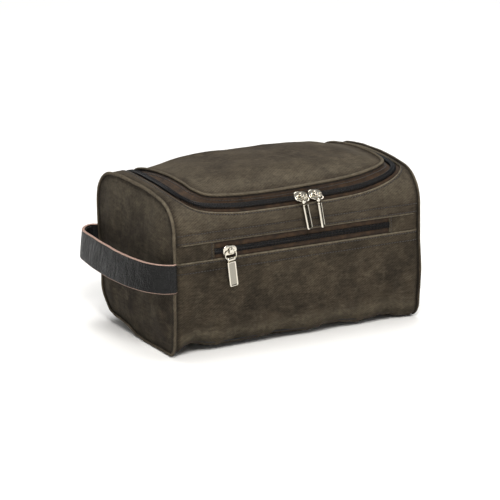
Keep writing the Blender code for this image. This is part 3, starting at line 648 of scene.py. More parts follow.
# The same plate over the pulls' satin-blasted sunk faces, its colour darkened as a painted dark reflection
SUNK_NICKEL_PAINTED_DARK = nickel_plate("satin_nickel_plate", "#8f8b81", 0.0011, (0.14, 0.3), (0.15, 0.08))
LINING_CLOTH = lining_cloth()
# Polyester sewing thread, dyed to match the canvas and sunk in it
THREAD = spun_thread("sewing_thread", "#120d09", "#261c14", Roughness=0.8, Sheen_Weight=0.2)
# Waxed black thread on the leather
WAXED_THREAD = spun_thread("waxed_thread", "#1b1a19", "#3a3733", Roughness=0.5)


# ------------------------------------------------------------------ what repeats


def repeat_tree():
    """Geometry Nodes: sets an item at even steps along polylines, turned to the line's own way and its "up"."""
    tree = bpy.data.node_groups.new("repeat_along_seam", "GeometryNodeTree")
    sockets = [
        ("Path", "NodeSocketGeometry"), ("Item", "NodeSocketObject"), ("Step", "NodeSocketFloat"),
        ("Finish", "NodeSocketMaterial"),
    ]
    for label, kind in sockets:
        tree.interface.new_socket(label, in_out="INPUT", socket_type=kind)
    tree.interface.new_socket("Pieces", in_out="OUTPUT", socket_type="NodeSocketGeometry")
    given = add(tree, "NodeGroupInput").outputs
    curve = add(tree, "GeometryNodeMeshToCurve", Mesh=given["Path"]).outputs[0]
    stepped = add(
        tree, "GeometryNodeResampleCurve", {"mode": "LENGTH"}, Curve=curve, Length=given["Step"]
    ).outputs[0]
    up = add(tree, "GeometryNodeInputNamedAttribute", {"data_type": "FLOAT_VECTOR"}, Name="up").outputs[0]
    way = add(tree, "GeometryNodeInputTangent").outputs[0]
    turn = add(
        tree, "FunctionNodeAxesToRotation", {"primary_axis": "X", "secondary_axis": "Z"}, _0=way, _1=up
    ).outputs[0]
    item = add(tree, "GeometryNodeObjectInfo", Object=given["Item"]).outputs["Geometry"]
    placed = add(
        tree, "GeometryNodeInstanceOnPoints", Points=stepped, Instance=item, Rotation=turn
    ).outputs[0]
    real = add(tree, "GeometryNodeRealizeInstances", Geometry=placed).outputs[0]
    done = add(tree, "GeometryNodeSetMaterial", Geometry=real, Material=given["Finish"]).outputs[0]
    add(tree, "NodeGroupOutput", _0=done)
    return tree


REPEAT = repeat_tree()


def repeated(name, lines, item, step, finish):
    """One mesh of items along lines. Each line is its points and their "up" directions, in millimetres."""
    points = np.concatenate([line for line, _ in lines])
    ups = np.concatenate([up for _, up in lines])
    edges, first = [], 0
    for line, _ in lines:
        edges += [(k, k + 1) for k in range(first, first + len(line) - 1)]
        first += len(line)
    mesh = bpy.data.meshes.new(name)
    mesh.from_pydata((points * MM).tolist(), edges, [])
    mesh.attributes.new("up", "FLOAT_VECTOR", "POINT").data.foreach_set("vector", ups.astype(np.float32).ravel())
    obj = bpy.data.objects.new(name, mesh)
    bpy.context.scene.collection.objects.link(obj)
    modifier = obj.modifiers.new("repeat", "NODES")
    modifier.node_group = REPEAT
    identifier = {s.name: s.identifier for s in REPEAT.interface.items_tree if s.in_out == "INPUT"}
    modifier[identifier["Item"]] = item
    modifier[identifier["Step"]] = step * MM
    modifier[identifier["Finish"]] = finish
    applied(obj)
    recalculate(obj.data)
    obj.data.shade_smooth()
    return obj


def thread_item():
    """One stitch: its ends dive into the cloth and its middle stands a thread's width proud."""
    path = [(-1.1, 0, -0.3), (-0.75, 0, 0.06), (0.0, 0, 0.2), (0.75, 0, 0.06), (1.1, 0, -0.3)]
    return tube("stitch_item", path, [0.2, 0.42, 0.48, 0.42, 0.2], 5, THREAD, start=(0.0, 1.0, 0.0))


def coil_item(side):
    """One turn of the coil on one side of the zip: up from the tape, over, and down into the chain's middle."""
    loop = [
        (2.3, -1.4), (2.45, -0.6), (2.15, 0.1), (1.5, 0.42), (0.75, 0.4), (0.1, 0.12), (-0.3, -0.45), (-0.2, -1.2),
    ]
    path = [(0.0, side * y, z) for y, z in loop]
    return tube("coil_item", path, 0.46, 5, COIL, start=(1.0, 0.0, 0.0))


# ------------------------------------------------------------------ lines on the cloth


def lengthened(points, extra):
    """The line with one more point at each end, extra millimetres on."""
    points = [np.array(p, float) for p in points]
    first, last = points[0] - points[1], points[-1] - points[-2]
    return np.array(
        [points[0] + first / np.linalg.norm(first) * extra, *points, points[-1] + last / np.linalg.norm(last) * extra]
    )


ZIP_POINTS = lengthened(ZIP_LINE, BACK_SEAM - ZIP_REAR)
LID_POINTS = lengthened(LID_LINE, BACK_SEAM - ZIP_REAR)
PIPING_OUT = np.array([LID_PIPING_HEIGHT[0], *LID_PIPING_HEIGHT, LID_PIPING_HEIGHT[-1]])


def low_fold(x):
    """Where the front's upper canvas ends above the pocket zip, as a distance around."""
    return np.interp(x, (-126, 126), (104.6, 102.4)) - SPRING


def high_fold(x):
    """Where the front's lower canvas ends below the pocket zip."""
    return np.interp(x, (-126, 126), (88.2, 86.4)) - SPRING


def calm(around):
    """0 by the pocket zip, where the cloth is held, and 1 far from it."""
    return smooth((np.abs(around + SPRING - POCKET_ZIP_Z) - 8) / 22)


def stitched_edge(d, *rows):
    """Height of cloth near a folded and stitched edge, by its distance from the fold."""
    height = 0.55 * bell(d - 0.8, 1.1) - 0.35 * smooth((1.2 - d) / 1.2)
    for row in rows:
        height = height - 0.42 * bell(d - row, 0.75) + 0.22 * bell(d - row - 2.6, 1.8)
    return height


def loft(name, outer, inner, uv, finish, wear_and_shade):
    """Cloth with real thickness between an outer and an inner grid of points, with rounded long edges."""
    rows, columns = outer.shape[:2]

    def rounded(edge, other, before):
        """Three rows of points round a long edge, from the outer face to the inner one."""
        way = edge - before
        way = way / np.maximum(np.linalg.norm(way, axis=1)[:, None], 1e-9)
        depth = np.linalg.norm(edge - other, axis=1)[:, None]
        rows_across = ((0.13, 0.32), (0.5, 0.48), (0.87, 0.32))
        return [edge * (1 - near) + other * near + way * depth * proud for near, proud in rows_across]

    def wrapped(values):
        return np.concatenate(
            [values, np.repeat(values[:, -1:], 3, 1), values[:, ::-1], np.repeat(values[:, :1], 3, 1)], axis=1
        )

    high = rounded(outer[:, -1], inner[:, -1], outer[:, -2])
    low = rounded(outer[:, 0], inner[:, 0], outer[:, 1])[::-1]
    ring = np.concatenate([outer, np.stack(high, 1), inner[:, ::-1], np.stack(low, 1)], axis=1)
    count = ring.shape[1]
    faces = [tuple(f) for f in grid_faces(rows, count, False, True)]
    for first in (0, (rows - 1) * count):
        last = first + 2 * columns + 2
        faces += [(first + k, first + k + 1, last - k - 1, last - k) for k in range(columns - 1)]
        faces.append(tuple(first + columns - 1 + k for k in range(5)))
        faces.append((last, last + 1, last + 2, last + 3, first))
    return mesh_object(name, ring, faces, wrapped(uv), [finish], wrapped(wear_and_shade), closed=True)


def wall_canvas(name, nodes, spot, height, under, wear_and_shade, finish):
    """A panel of canvas on the long wall, between an outer and an inner height. spot is x and around."""
    x, around = spot
    piece = loft(
        name, on_wall(x, around, height), on_wall(x, around, under), np.stack([x, around], -1), finish, wear_and_shade
    )
    place(piece, "body", "olive_canvas", *nodes)


def lining(name, points, flat, *nodes):
    """A sheet of lining on the body."""
    place(sheet(name, points, flat, LINING_CLOTH, LINING), "body", "black_lining", *nodes)


def spread(start, end, step):
    return np.linspace(start, end, max(2, int(round(abs(end - start) / step)) + 1))


def tightened(around):
    """How far the cloth is rubbed pale where it turns over the bag's long corners."""
    return 0.32 * (bell(around - 22, 16) + 0.6 * bell(around - 166, 14))


# ------------------------------------------------------------------ the body's canvas


def wall_relief(x, around):
    """The front wall's soft dents, and the puckers that its gathered lower edge makes."""
    puckers = 1.1 * ripples(x, around * 0.35, 20, 9.0, 24.0, 10) * smooth((44 - around - SPRING) / 36)
    return 1.3 * ripples(x, around, 11) * calm(around) + puckers


def seam_dip(x):
    """How far the cloth dips towards the corded seam at the bag's ends."""
    return -1.7 * bell(np.maximum(SEAM_X - np.abs(x), 0), 3.2)


def columns_x():
    """Where the panels' columns of points stand, closer together near the corded seams."""
    inner = spread(-112, 112, 2.4)
    ends = np.array([113.6, 115.2, 116.8, 118.4, 120, 121.4, 122.6, 123.6, 124.5, 125.3, SEAM_X])
    return np.concatenate([-ends[::-1], inner, ends])


FRONT_LOWER_FOLDS = [
    ((-118, -98), (-70, -60), 7, 1.2), ((112, -95), (78, -50), 8, 1.3), ((-40, -100), (-52, -68), 6, 1.2),
    ((30, -104), (40, -74), 6, 1.2), ((-114, -96), (-111, -48), 4, 1.5), ((-100, -100), (-92, -66), 4, 1.3),
    ((-75, -104), (-78, -80), 4, 1.2), ((96, -98), (100, -62), 5, 1.5), ((118, -84), (116, -40), 4, 1.2),
    ((-20, -88), (50, -50), 10, 0.9),
]
FRONT_UPPER_FOLDS = [
    ((-120, -4), (-104, 14), 2.6, -0.9), ((-112, -5), (-90, 10), 3.0, 0.8), ((122, 0), (106, 18), 3.0, -0.8),
    ((-60, 4), (-20, 9), 4.0, 0.7), ((50, 3), (96, 12), 4.0, 0.7),
]
BACK_FOLDS = [
    ((-112, 262), (-60, 226), 9, 1.6), ((110, 264), (66, 224), 9, 1.5), ((-96, 196), (-40, 206), 10, 1.1),
    ((90, 192), (30, 203), 11, 1.2),
]
END_FOLDS = [
    ((-50, 122), (-8, 96), 8, 1.4), ((52, 120), (14, 92), 9, 1.2), ((-60, 30), (-22, 52), 8, 1.3),
    ((56, 26), (20, 50), 8, 1.3),
]
LID_FOLDS = [
    ((-60, 52), (-30, 78), 9, 1.0), ((70, 54), (44, 84), 9, 1.0), ((-70, 140), (-20, 128), 9, 1.2),
    ((64, 146), (20, 132), 9, 1.0),
]


def front_lower_height(x, around):
    d = high_fold(x) - around
    near = stitched_edge(d, *LOWER_ROWS)
    pull = folds(x, around, FRONT_LOWER_FOLDS) * calm(around)
    return near + wall_relief(x, around) + pull + seam_dip(x)


def front_lower_canvas():
    xs = columns_x()
    steps = np.concatenate([
        spread(BASE_START + 1, FOOT_START, 1.9), spread(FOOT_START, -SPRING + 76, 2.0)[1:],
    ])
    d = np.array([11.8, 10.8, 10.2, 9.6, 9.0, 8.2, 7.0, 5.6, 4.4, 3.4, 2.7, 2.2, 1.9, 1.6, 1.1, 0.7, 0.3, 0.0])
    x = xs[:, None]
    around = np.concatenate(
        [np.broadcast_to(steps, (len(xs), len(steps))), high_fold(x) - d[None, :]], axis=1
    )
    x = np.broadcast_to(x, around.shape)
    height = front_lower_height(x, around)
    under = np.minimum(height - CANVAS, -CANVAS + 0.6)
    # Pale along the pocket fold, rubbed wear and partly a painted highlight, and rubbed at the foot; painted shade
    # beside the corded seams and in the stitch rows.
    wear_and_shade = tightened(around) + 0.95 * bell(high_fold(x) - around, 1.0)
    wear_and_shade = wear_and_shade - 0.95 * bell(SEAM_X - np.abs(x), 3.0) + 0.25 * bell(around - FOOT_START, 7)
    for row in LOWER_ROWS:
        wear_and_shade = wear_and_shade - 0.4 * bell(high_fold(x) - around - row, 0.8)
    wall_canvas("front_lower_canvas", ["front_lower_panel"], (x, around), height, under, wear_and_shade, FRONT_CANVAS)


def upper_lines():
    """The front's upper canvas: matching points of its zip edge and its outer edge."""
    left = [(0, BACK_SEAM), (1, ZIP_REAR), (2, 141), (3, 112.5), (4, 84), (5, 56), (6, 24)]
    pocket = [
        (6.5, -SEAM_X), (7, -108), (8, -74), (9, -42), (10, -12), (11, 14.9), (12, 42), (13, 70), (14, 94), (15, 115),
        (15.6, SEAM_X),
    ]
    right = [(16, 10), (17, 44), (18, 80), (19, 112.5), (20, 141), (21, ZIP_REAR), (22, BACK_SEAM)]
    keys = [(k, -SEAM_X, around) for k, around in left]
    keys += [(k, x, float(low_fold(x))) for k, x in pocket]
    keys += [(k, SEAM_X, around) for k, around in right]
    key_t, key_x, key_around = zip(*keys)
    t = np.union1d(even_steps(ZIP_POINTS, 2.0), [pocket[0][0], pocket[-1][0]])
    line = catmull(ZIP_POINTS, t)
    inner = line - normals_from(line) * BODY_FOLD
    limit = SEAM_X - 4.6
    inner[:, 0] = np.clip(inner[:, 0], -limit, limit)
    outer = np.stack([np.interp(t, key_t, key_x), np.interp(t, key_t, key_around)], -1)
    return t, inner, outer


UPPER_T, UPPER_INNER, UPPER_OUTER = upper_lines()


def upper_height(x, around, from_zip):
    """Height of the front's upper canvas by its distance from the zip's fold."""
    to_pocket = around - low_fold(x)
    front = smooth((SEAM_X - 6 - np.abs(x)) / 6)
    at_pocket = stitched_edge(to_pocket, *UPPER_ROWS) * front
    at_zip = stitched_edge(from_zip, 2.0)
    calm_zip = smooth((from_zip - 2) / 14)
    pull = folds(x, around, FRONT_UPPER_FOLDS) * calm_zip
    soft = 1.2 * ripples(x, around, 23) * calm_zip * smooth(to_pocket / 14)
    return at_pocket + at_zip + soft + pull + seam_dip(x) + 0.3


def front_upper_canvas():
    width = np.linalg.norm(UPPER_OUTER - UPPER_INNER, axis=1)[:, None]
    near = np.array([0.0, 0.35, 0.8, 1.3, 1.7, 2.0, 2.4, 3.0, 4.0, 5.2])
    scale = np.minimum(1.0, width / 11.0)
    rest = np.linspace(0, 1, 22)[1:]
    last = near[-1] * scale
    distance = np.concatenate([near * scale, last + (width - last) * rest], axis=1)
    share = distance / width
    spots = UPPER_INNER[:, None] + (UPPER_OUTER - UPPER_INNER)[:, None] * share[..., None]
    x, around = spots[..., 0], spots[..., 1]
    height = upper_height(x, around, distance)
    under = np.minimum(height - CANVAS, -CANVAS + 0.4)
    # Pale along the zip and pocket folds, rubbed wear and partly a painted highlight; painted shade beside the corded
    # seams and in the stitch rows.
    wear_and_shade = tightened(around) + 0.8 * bell(distance, 1.0)
    wear_and_shade = wear_and_shade + 0.9 * bell(around - low_fold(x), 1.0) * (np.abs(x) < 122)
    wear_and_shade = wear_and_shade - 0.95 * bell(SEAM_X - np.abs(x), 3.0) - 0.3 * bell(distance - 2.0, 0.7)
    for row in UPPER_ROWS:
        wear_and_shade = wear_and_shade - 0.45 * bell(around - low_fold(x) - row, 0.8) * (np.abs(x) < 122)
    wall_canvas("front_upper_canvas", ["front_upper_panel"], (x, around), height, under, wear_and_shade, TOP_CANVAS)


def pocket_tabs():
    """The short canvas ends that close the pocket zip, flush with the panels above and below them."""
    for side, start, end in (("left", -SEAM_X, POCKET_LEFT), ("right", POCKET_RIGHT, SEAM_X)):
        xs = spread(start, end, 1.1)[:, None]
        share = np.linspace(0, 1, 15)[None, :]
        low, high = high_fold(xs) - 2.5, low_fold(xs) + 2.5
        around = low + (high - low) * share
        x = np.broadcast_to(xs, around.shape)
        free = np.abs(x - (end if side == "left" else start))
        tuck = 0.8 * smooth((np.abs(share - 0.5) - 0.32) / 0.12)
        height = stitched_edge(free, 2.2) - 0.45 - tuck + seam_dip(x) * 0.8 + 0.25 * ripples(x, around, 31, 8, 20)
        # Rubbed pale along the free fold; painted shade at the top and bottom, where the tab tucks under the panels.
        wear_and_shade = 0.35 * bell(free, 1.0) - 0.5 * smooth((np.abs(share - 0.5) - 0.28) / 0.1)
        nodes = [f"pocket_tab_{side}"]
        wall_canvas(f"pocket_tab_canvas_{side}", nodes, (x, around), height, height - 1.0, wear_and_shade, FRONT_CANVAS)


def zip_end_tabs():
    """Small folded tabs that close each end of the lid zip behind the hinge."""
    for side, end in (("left", 0), ("right", -1)):
        xs = (ZIP_POINTS[end][0] + spread(-9.0, 9.0, 1.0))[:, None]
        free = np.array([0.0, 0.3, 0.8, 1.4, 2.0, 2.7, 3.6, 4.8, 6.2, 8.0, 10.0])
        x, around = np.broadcast_arrays(xs, (HINGE + 0.4 + free)[None, :])
        height = stitched_edge(np.broadcast_to(free[None, :], x.shape), 2.0) * 0.6 - 1.2
        wear_and_shade = 0.4 * bell(around - HINGE - 0.4, 1.0)
        wall_canvas(f"zip_end_tab_{side}", [], (x, around), height, height - 0.9, wear_and_shade, FRONT_CANVAS)


def zip_end_gussets():
    """The lid zip's tape carried on over the hinge at each end, under the cloth, so that no light shows there."""
    for side, end in (("left", 0), ("right", -1)):
        inner, outer = LID_POINTS[end][0], ZIP_POINTS[end][0]
        sign = np.sign(outer)
        xs = np.linspace(inner - 7 * sign, outer + 2 * sign, 25)[:, None]
        x, around = np.broadcast_arrays(xs, HINGE + np.linspace(-11, 5.5, 23)[None, :])
        uv = np.stack([x, around], -1)
        piece = sheet(f"zip_end_gusset_{side}", on_wall(x, around, -2.4), uv, ZIP_TAPE, TAPE)
        bend_at_hinge(piece, "brown_zip_tape")


def back_height(x, around):
    down = REAR_FOOT_START - around
    near_base = smooth((40 - down) / 34)
    puckers = ripples(x, around * 0.35, 47, 9.0, 24.0, 10) * near_base
    soft = 1.5 * ripples(x, around, 41) * smooth((around - BACK_SEAM) / 25)
    pull = folds(x, around, BACK_FOLDS)
    return stitched_edge(around - BACK_SEAM, 2.2) + soft + puckers + pull + seam_dip(x) - 0.5


def back_canvas():
    xs = columns_x()[:, None]
    near = BACK_SEAM + np.array([0, 0.4, 0.9, 1.5, 1.9, 2.2, 2.6, 3.2, 4.2, 5.6])
    wall, foot = spread(near[-1], REAR_FOOT_START, 2.4)[1:], spread(REAR_FOOT_START, BASE_END - 1, 2.4)[1:]
    x, around = np.broadcast_arrays(xs, np.concatenate([near, wall, foot])[None, :])
    height = back_height(x, around)
    # Painted shade beside the corded seams; pale rubbed fold along the top seam.
    wear_and_shade = tightened(around) - 0.8 * bell(SEAM_X - np.abs(x), 1.6) + 0.5 * bell(around - BACK_SEAM, 0.9)
    wall_canvas("back_canvas", ["back_panel"], (x, around), height, height - CANVAS, wear_and_shade, FRONT_CANVAS)


def base_canvas():
    xs = columns_x()[:, None]
    y = spread(FRONT_FOOT - HALF_DEPTH - 2, HALF_DEPTH - REAR_FOOT + 2, 3.0)[None, :]
    x, y = np.broadcast_arrays(xs, y)
    lift = 0.35 + 0.35 * ripples(x, y, 53)
    outer = settle(np.stack([x, y, lift - 0.3], -1))
    outer[..., 2] = np.maximum(outer[..., 2], 0.05)
    inner = outer + (0, 0, CANVAS)
    # Painted shade beside the corded seams.
    wear_and_shade = -0.8 * bell(SEAM_X - np.abs(x), 1.6)
    piece = loft("base_canvas", outer, inner, np.stack([x, y], -1), FRONT_CANVAS, wear_and_shade)
    place(piece, "body", "olive_canvas", "base_panel")


# ------------------------------------------------------------------ the ends


END_CORNERS = (
    (BASE_START + FOOT_START) / 2, TOP_START / 2, (TOP_END + REAR_START) / 2, (REAR_FOOT_START + BASE_END) / 2,
)


def rim(around, out):
    """y and z of the section all the way round, along the base too."""
    return np.stack(section(around, out), -1)


def end_grid(out, count=46):
    """A patch of y and z inside the section's outline, and each point's distance from the outline."""
    foot_front, top_front, top_rear, foot_rear = END_CORNERS
    u = np.linspace(0, 1, count)
    front = rim(foot_front + (top_front - foot_front) * u, out)
    top = rim(top_front + (top_rear - top_front) * u, out)
    rear = rim(foot_rear + (top_rear - foot_rear) * u, out)
    run = (BASE_END - foot_rear) + (2 * HALF_DEPTH - FRONT_FOOT - REAR_FOOT) + (foot_front - BASE_START)

    def along_base(done):
        """The outline from the middle of the rear foot, down and along the base to the front foot."""
        if foot_rear + done <= BASE_END:
            return rim(foot_rear + done, out)
        if run - done < foot_front - BASE_START:
            return rim(foot_front - (run - done), out)
        return HALF_DEPTH - REAR_FOOT - (foot_rear + done - BASE_END), -out

    bottom = np.array([along_base(done) for done in run * u[::-1]])
    a, b = u[:, None, None], u[None, :, None]
    sides = front[None, :] * (1 - a) + rear[None, :] * a
    ends = bottom[:, None] * (1 - b) + top[:, None] * b
    corners = front[0] * (1 - a) * (1 - b) + rear[0] * a * (1 - b)
    corners = corners + front[-1] * (1 - a) * b + rear[-1] * a * b
    grid = sides + ends - corners
    border = np.concatenate([front, top, rear[::-1], bottom[::-1]])
    gap = np.linalg.norm(grid.reshape(-1, 1, 2) - border[None], axis=2).min(1).reshape(grid.shape[:2])
    return grid, gap


def end_canvas(side, sign):
    grid, gap = end_grid(-1.0)
    y, z = grid[..., 0], grid[..., 1]
    bulge = 3.4 * smooth(gap / 30) + 1.3 * ripples(y, z, 61 if sign < 0 else 67, 30, 80) * smooth(gap / 18)
    bulge = bulge + folds(y, z, END_FOLDS)
    bulge = np.minimum(bulge, 7.5)
    # Held down under the strap's stitched ends.
    for strap_y in (-74, 74):
        held = bell(y - strap_y, 12) * bell(z - STRAP_Z, 20)
        bulge = bulge * (1 - 0.8 * held)
    x = sign * (SEAM_X + 0.6 + bulge - 0.5 * bell(gap, 2.5))
    points = settle(np.stack([x, y, z], -1))
    # Painted shade in the groove beside the piping, and the panel painted paler towards its top, where the light
    # falls.
    wear_and_shade = -0.95 * bell(gap, 3.4) + 0.25 * smooth((z - 90) / 50)
    piece = sheet(f"end_canvas_{side}", points, np.stack([y, z], -1), END_CANVAS, CANVAS, wear_and_shade)
    place(piece, "body", "olive_canvas", f"end_panel_{side}")


def ring_around(out):
    """Points y, z all round the section, from the front base corner over the top and back along the base."""
    walls = rim(spread(BASE_START, BASE_END, 2.0), out)
    y = spread(HALF_DEPTH - REAR_FOOT, FRONT_FOOT - HALF_DEPTH, 3.0)
    return np.concatenate([walls, np.stack([y, np.full(len(y), -out)], -1)[1:-1]])


def end_cord(side, sign):
    """The corded seam round the bag's end."""
    ring = ring_around(-0.7)
    run = distance_along(ring)
    wobble = 0.35 * ripples(run, run * 0.0, 71 if sign < 0 else 73, 14, 60)
    x = sign * (CORD_X + wobble)
    path = settle(np.stack([x, ring[:, 0], np.maximum(ring[:, 1], 1.9)], -1))
    size = PIPING + 0.12 * ripples(run, run * 0, 79, 8, 30)
    wear_and_shade = 0.35 + 0.45 * bell(run - (22 - BASE_START), 30)
    beyond = ring_around(0.3) - ring
    top = np.column_stack([np.full(len(ring), 0.8 * sign), 0.6 * beyond])
    piece = tube(f"end_cord_{side}", path, size, PIPING_SIDES, PIPING_CANVAS, True, wear_and_shade, (1.0, 0.0, 0.0), top)
    place(piece, "body", "piping_canvas", f"end_piping_{side}")


# ------------------------------------------------------------------ the lid


def lid_edge(distance, step):
    """The lid's outline, moved in by a distance: t, x with around, and out."""
    t = even_steps(LID_POINTS, step)
    line = catmull(LID_POINTS, t)
    return t, line + normals_from(line) * distance, catmull(PIPING_OUT, t)[:, 0]


def lid_grid(inset):
    """A patch of x and around inside the lid's outline, and each point's distance from it and its rim's height."""
    rows, columns = 86, 110
    t, edge, out = lid_edge(inset, 1.2)
    # Values of t at the lid's two front corners
    corner_left, corner_right = 6.55, 14.9
    left = np.linspace(0, corner_left, columns)
    front = np.linspace(corner_left, corner_right, rows)
    right = np.linspace(22, corner_right, columns)

    def at(values):
        return np.stack([np.interp(values, t, edge[:, 0]), np.interp(values, t, edge[:, 1])], -1)

    def height(values):
        return np.interp(values, t, out)

    a = np.linspace(0, 1, rows)[:, None, None]
    b = np.linspace(0, 1, columns)[None, :, None]
    left_line, right_line, front_line = at(left), at(right), at(front)
    rear_line = left_line[0] + (right_line[0] - left_line[0]) * np.linspace(0, 1, rows)[:, None]
    sides = left_line[None] * (1 - a) + right_line[None] * a
    ends = rear_line[:, None] * (1 - b) + front_line[:, None] * b
    corners = left_line[0] * (1 - a) * (1 - b) + right_line[0] * a * (1 - b)
    corners = corners + left_line[-1] * (1 - a) * b + right_line[-1] * a * b
    grid = sides + ends - corners
    flat = grid.reshape(-1, 2)
    gap = np.empty(len(flat))
    rim_height = np.empty(len(flat))
    # In batches, since every point is measured to every point of the outline.
    for start in range(0, len(flat), 2000):
        batch = slice(start, start + 2000)
        apart = np.linalg.norm(flat[batch, None] - edge[None], axis=2)
        gap[batch] = apart.min(1)
        weight = 1 / (apart + 2.0) ** 3
        rim_height[batch] = (weight * out[None]).sum(1) / weight.sum(1)
    return grid, gap.reshape(grid.shape[:2]), rim_height.reshape(grid.shape[:2])


def lid_height(x, around, gap, rim_height):
    """The lid's height: it leaves the piping, crowns, and lies down again towards the seam at the back."""
    to_back = smooth((BACK_SEAM - around) / 34)
    fuller = np.interp(x, (-100, -60, -20, 30, 70, 110), (-2.6, 0.4, 2.4, 2.0, -0.6, -1.6))
    crown = (LID_CROWN + fuller) * smooth(gap / LID_RAMP) * to_back
    soft = 1.1 * ripples(x, around, 83, 34, 110) * smooth(gap / 22) * smooth((BACK_SEAM - around) / 20)
    pull = folds(x, around, LID_FOLDS)
    return rim_height + crown + soft + pull * smooth(gap / 16) - 0.5 * bell(gap - 3.0, 1.2)


def lid_canvas():
    grid, gap, rim_height = lid_grid(0.6)
    x, around = grid[..., 0], grid[..., 1]
    height = lid_height(x, around, gap, rim_height)
    # The band darkened beside the piping is painted shade.
    wear_and_shade = 0.35 * smooth((gap - 2) / 10) * bell(gap, 26) - 0.9 * bell(gap, 1.6) + 0.6 * tightened(around)
    flat = np.stack([x, around], -1)
    under = height - CANVAS - 1.4
    canvas = sheet("lid_canvas", on_wall(x, around, height), flat, TOP_CANVAS, CANVAS, wear_and_shade)
    bend_at_hinge(canvas, "olive_canvas", "lid_panel")
    inside = sheet("lid_lining_cloth", on_wall(x, around, under), flat, LINING_CLOTH, LINING)
    bend_at_hinge(inside, "black_lining", "lid_lining")


def bend_at_hinge(piece, slot, *nodes):
    """The lid's cloth is its own hinge. This marks the piece's sharp edges, bakes its transform and hides the CAD
    nodes that it stands for.
    """
    piece.data.set_sharp_from_angle(angle=SHARP_EDGE)
    start = Vector((0, *(float(v) for v in section(HINGE + 3.0)))) * MM
    end = Vector((0, *(float(v) for v in section(HINGE - 8.0)))) * MM
    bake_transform(piece)
    if nodes:
        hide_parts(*nodes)


def lid_cord():
    t = even_steps(LID_LINE, 2.0)
    line = catmull(LID_LINE, t)
    out = catmull(LID_PIPING_HEIGHT, t)[:, 0]
    run = distance_along(line)
    path, top = raised(line[:, 0], line[:, 1], out + 0.2 * ripples(run, run * 0, 89, 10, 50))
    size = PIPING + 0.12 * ripples(run, run * 0, 91, 8, 30)
    wear_and_shade = 0.55 + 0.25 * ripples(run, run * 0, 93, 20, 80)
    piece = tube("lid_cord", path, size, PIPING_SIDES, PIPING_CANVAS, False, wear_and_shade, None, top)
    place(piece, "lid", "piping_canvas", "lid_piping")


# ------------------------------------------------------------------ zips


def lid_chain():
    """Matching points of the lid zip and the lid's piping, the piping's height, and the distance between them."""
    t = even_steps(ZIP_LINE, 2.0)
    line, cord_line = catmull(ZIP_LINE, t), catmull(LID_LINE, t)
    return line, cord_line, catmull(LID_PIPING_HEIGHT, t)[:, 0], np.linalg.norm(cord_line - line, axis=1)


def lid_tape_height(across, far, cord_out):
    """The lid's tape climbs from the coil to the seam under the piping."""
    climb = smooth((across - CHAIN_HALF) / np.maximum(far - CHAIN_HALF, 1.0))
    return TAPE_FACE + (cord_out - 1.4 - TAPE_FACE) * climb


def zip_tapes():
    """The lid zip's two tapes. Each carries half of the coil."""
    line, cord_line, cord_out, far = lid_chain()
    normal = normals_from(line)
    run = distance_along(line)[:, None]
    # Body side: flat under the fold of the canvas, and narrower by the bag's ends.
    share = np.linspace(0, 1, 9)
    reach = np.minimum(BODY_FOLD + 5.0, SEAM_X - 1.5 - np.abs(line[:, 0]))
    reach = np.where(np.abs(line[:, 0]) < 100, BODY_FOLD + 5.0, np.maximum(reach, BODY_FOLD + 1.0))
    across = 0.3 + (reach - 0.3)[:, None] * share
    spots = line[:, None] - normal[:, None] * across[..., None]
    x, around = np.clip(spots[..., 0], -SEAM_X + 1.2, SEAM_X - 1.2), spots[..., 1]
    uv = np.stack(np.broadcast_arrays(run, across), -1)
    # Painted shade: the tape darkens away from the coil, under the canvas fold.
    wear_and_shade = -0.6 * smooth((across - CHAIN_HALF) / 2.2)
    body_side = sheet("lid_zip_tape_outer", on_wall(x, around, TAPE_FACE - 0.35 * share), uv, ZIP_TAPE, TAPE, wear_and_shade)
    place(body_side, "body", "brown_zip_tape", "lid_zip_tape_body_side")
    # Lid side
    share = np.linspace(0, 1, 14)
    far = far[:, None]
    across = 0.3 + (far - 0.3) * share
    spots = line[:, None] + (cord_line - line)[:, None] * (across / far)[..., None]
    out = lid_tape_height(across, far, cord_out[:, None]) - 0.3 * bell(far - across - TAPE_ROW, 0.7)
    # Painted shade: the tape darkens up under the piping and a little beside the coil.
    wear_and_shade = -0.9 * smooth((across - far + 2.6) / 1.6) - 0.25 * bell(across, 3.4)
    uv = np.stack(np.broadcast_arrays(run, across), -1)
    lid_side = sheet("lid_zip_tape_inner", on_wall(spots[..., 0], spots[..., 1], out), uv, ZIP_TAPE, TAPE, wear_and_shade)
    place(lid_side, "lid", "brown_zip_tape", "lid_zip_tape_lid_side")


def raised(x, around, out):
    """Points on the wall and the way up from it there."""
    base = on_wall(x, around, out)
    up = on_wall(x, around, np.asarray(out) + 1.0) - base
    return base, up / np.linalg.norm(up, axis=-1)[..., None]


def coil(name, node, body, side, x, around):
    """One half of a coil along a line on the wall. side is 1 above the line and -1 below it."""
    item = coil_item(side)
    piece = repeated(name, [raised(x, around, 0.0)], item, COIL_PITCH, COIL)
    bpy.data.objects.remove(item)
    place(piece, body, "black_coil", node)


def lid_coils():
    line = catmull(ZIP_LINE, even_steps(ZIP_LINE, COIL_STEP))
    coil("lid_zip_coil_outer", "lid_zip_coil_body_side", "body", -1, line[:, 0], line[:, 1])
    coil("lid_zip_coil_inner", "lid_zip_coil_lid_side", "lid", 1, line[1:, 0], line[1:, 1])


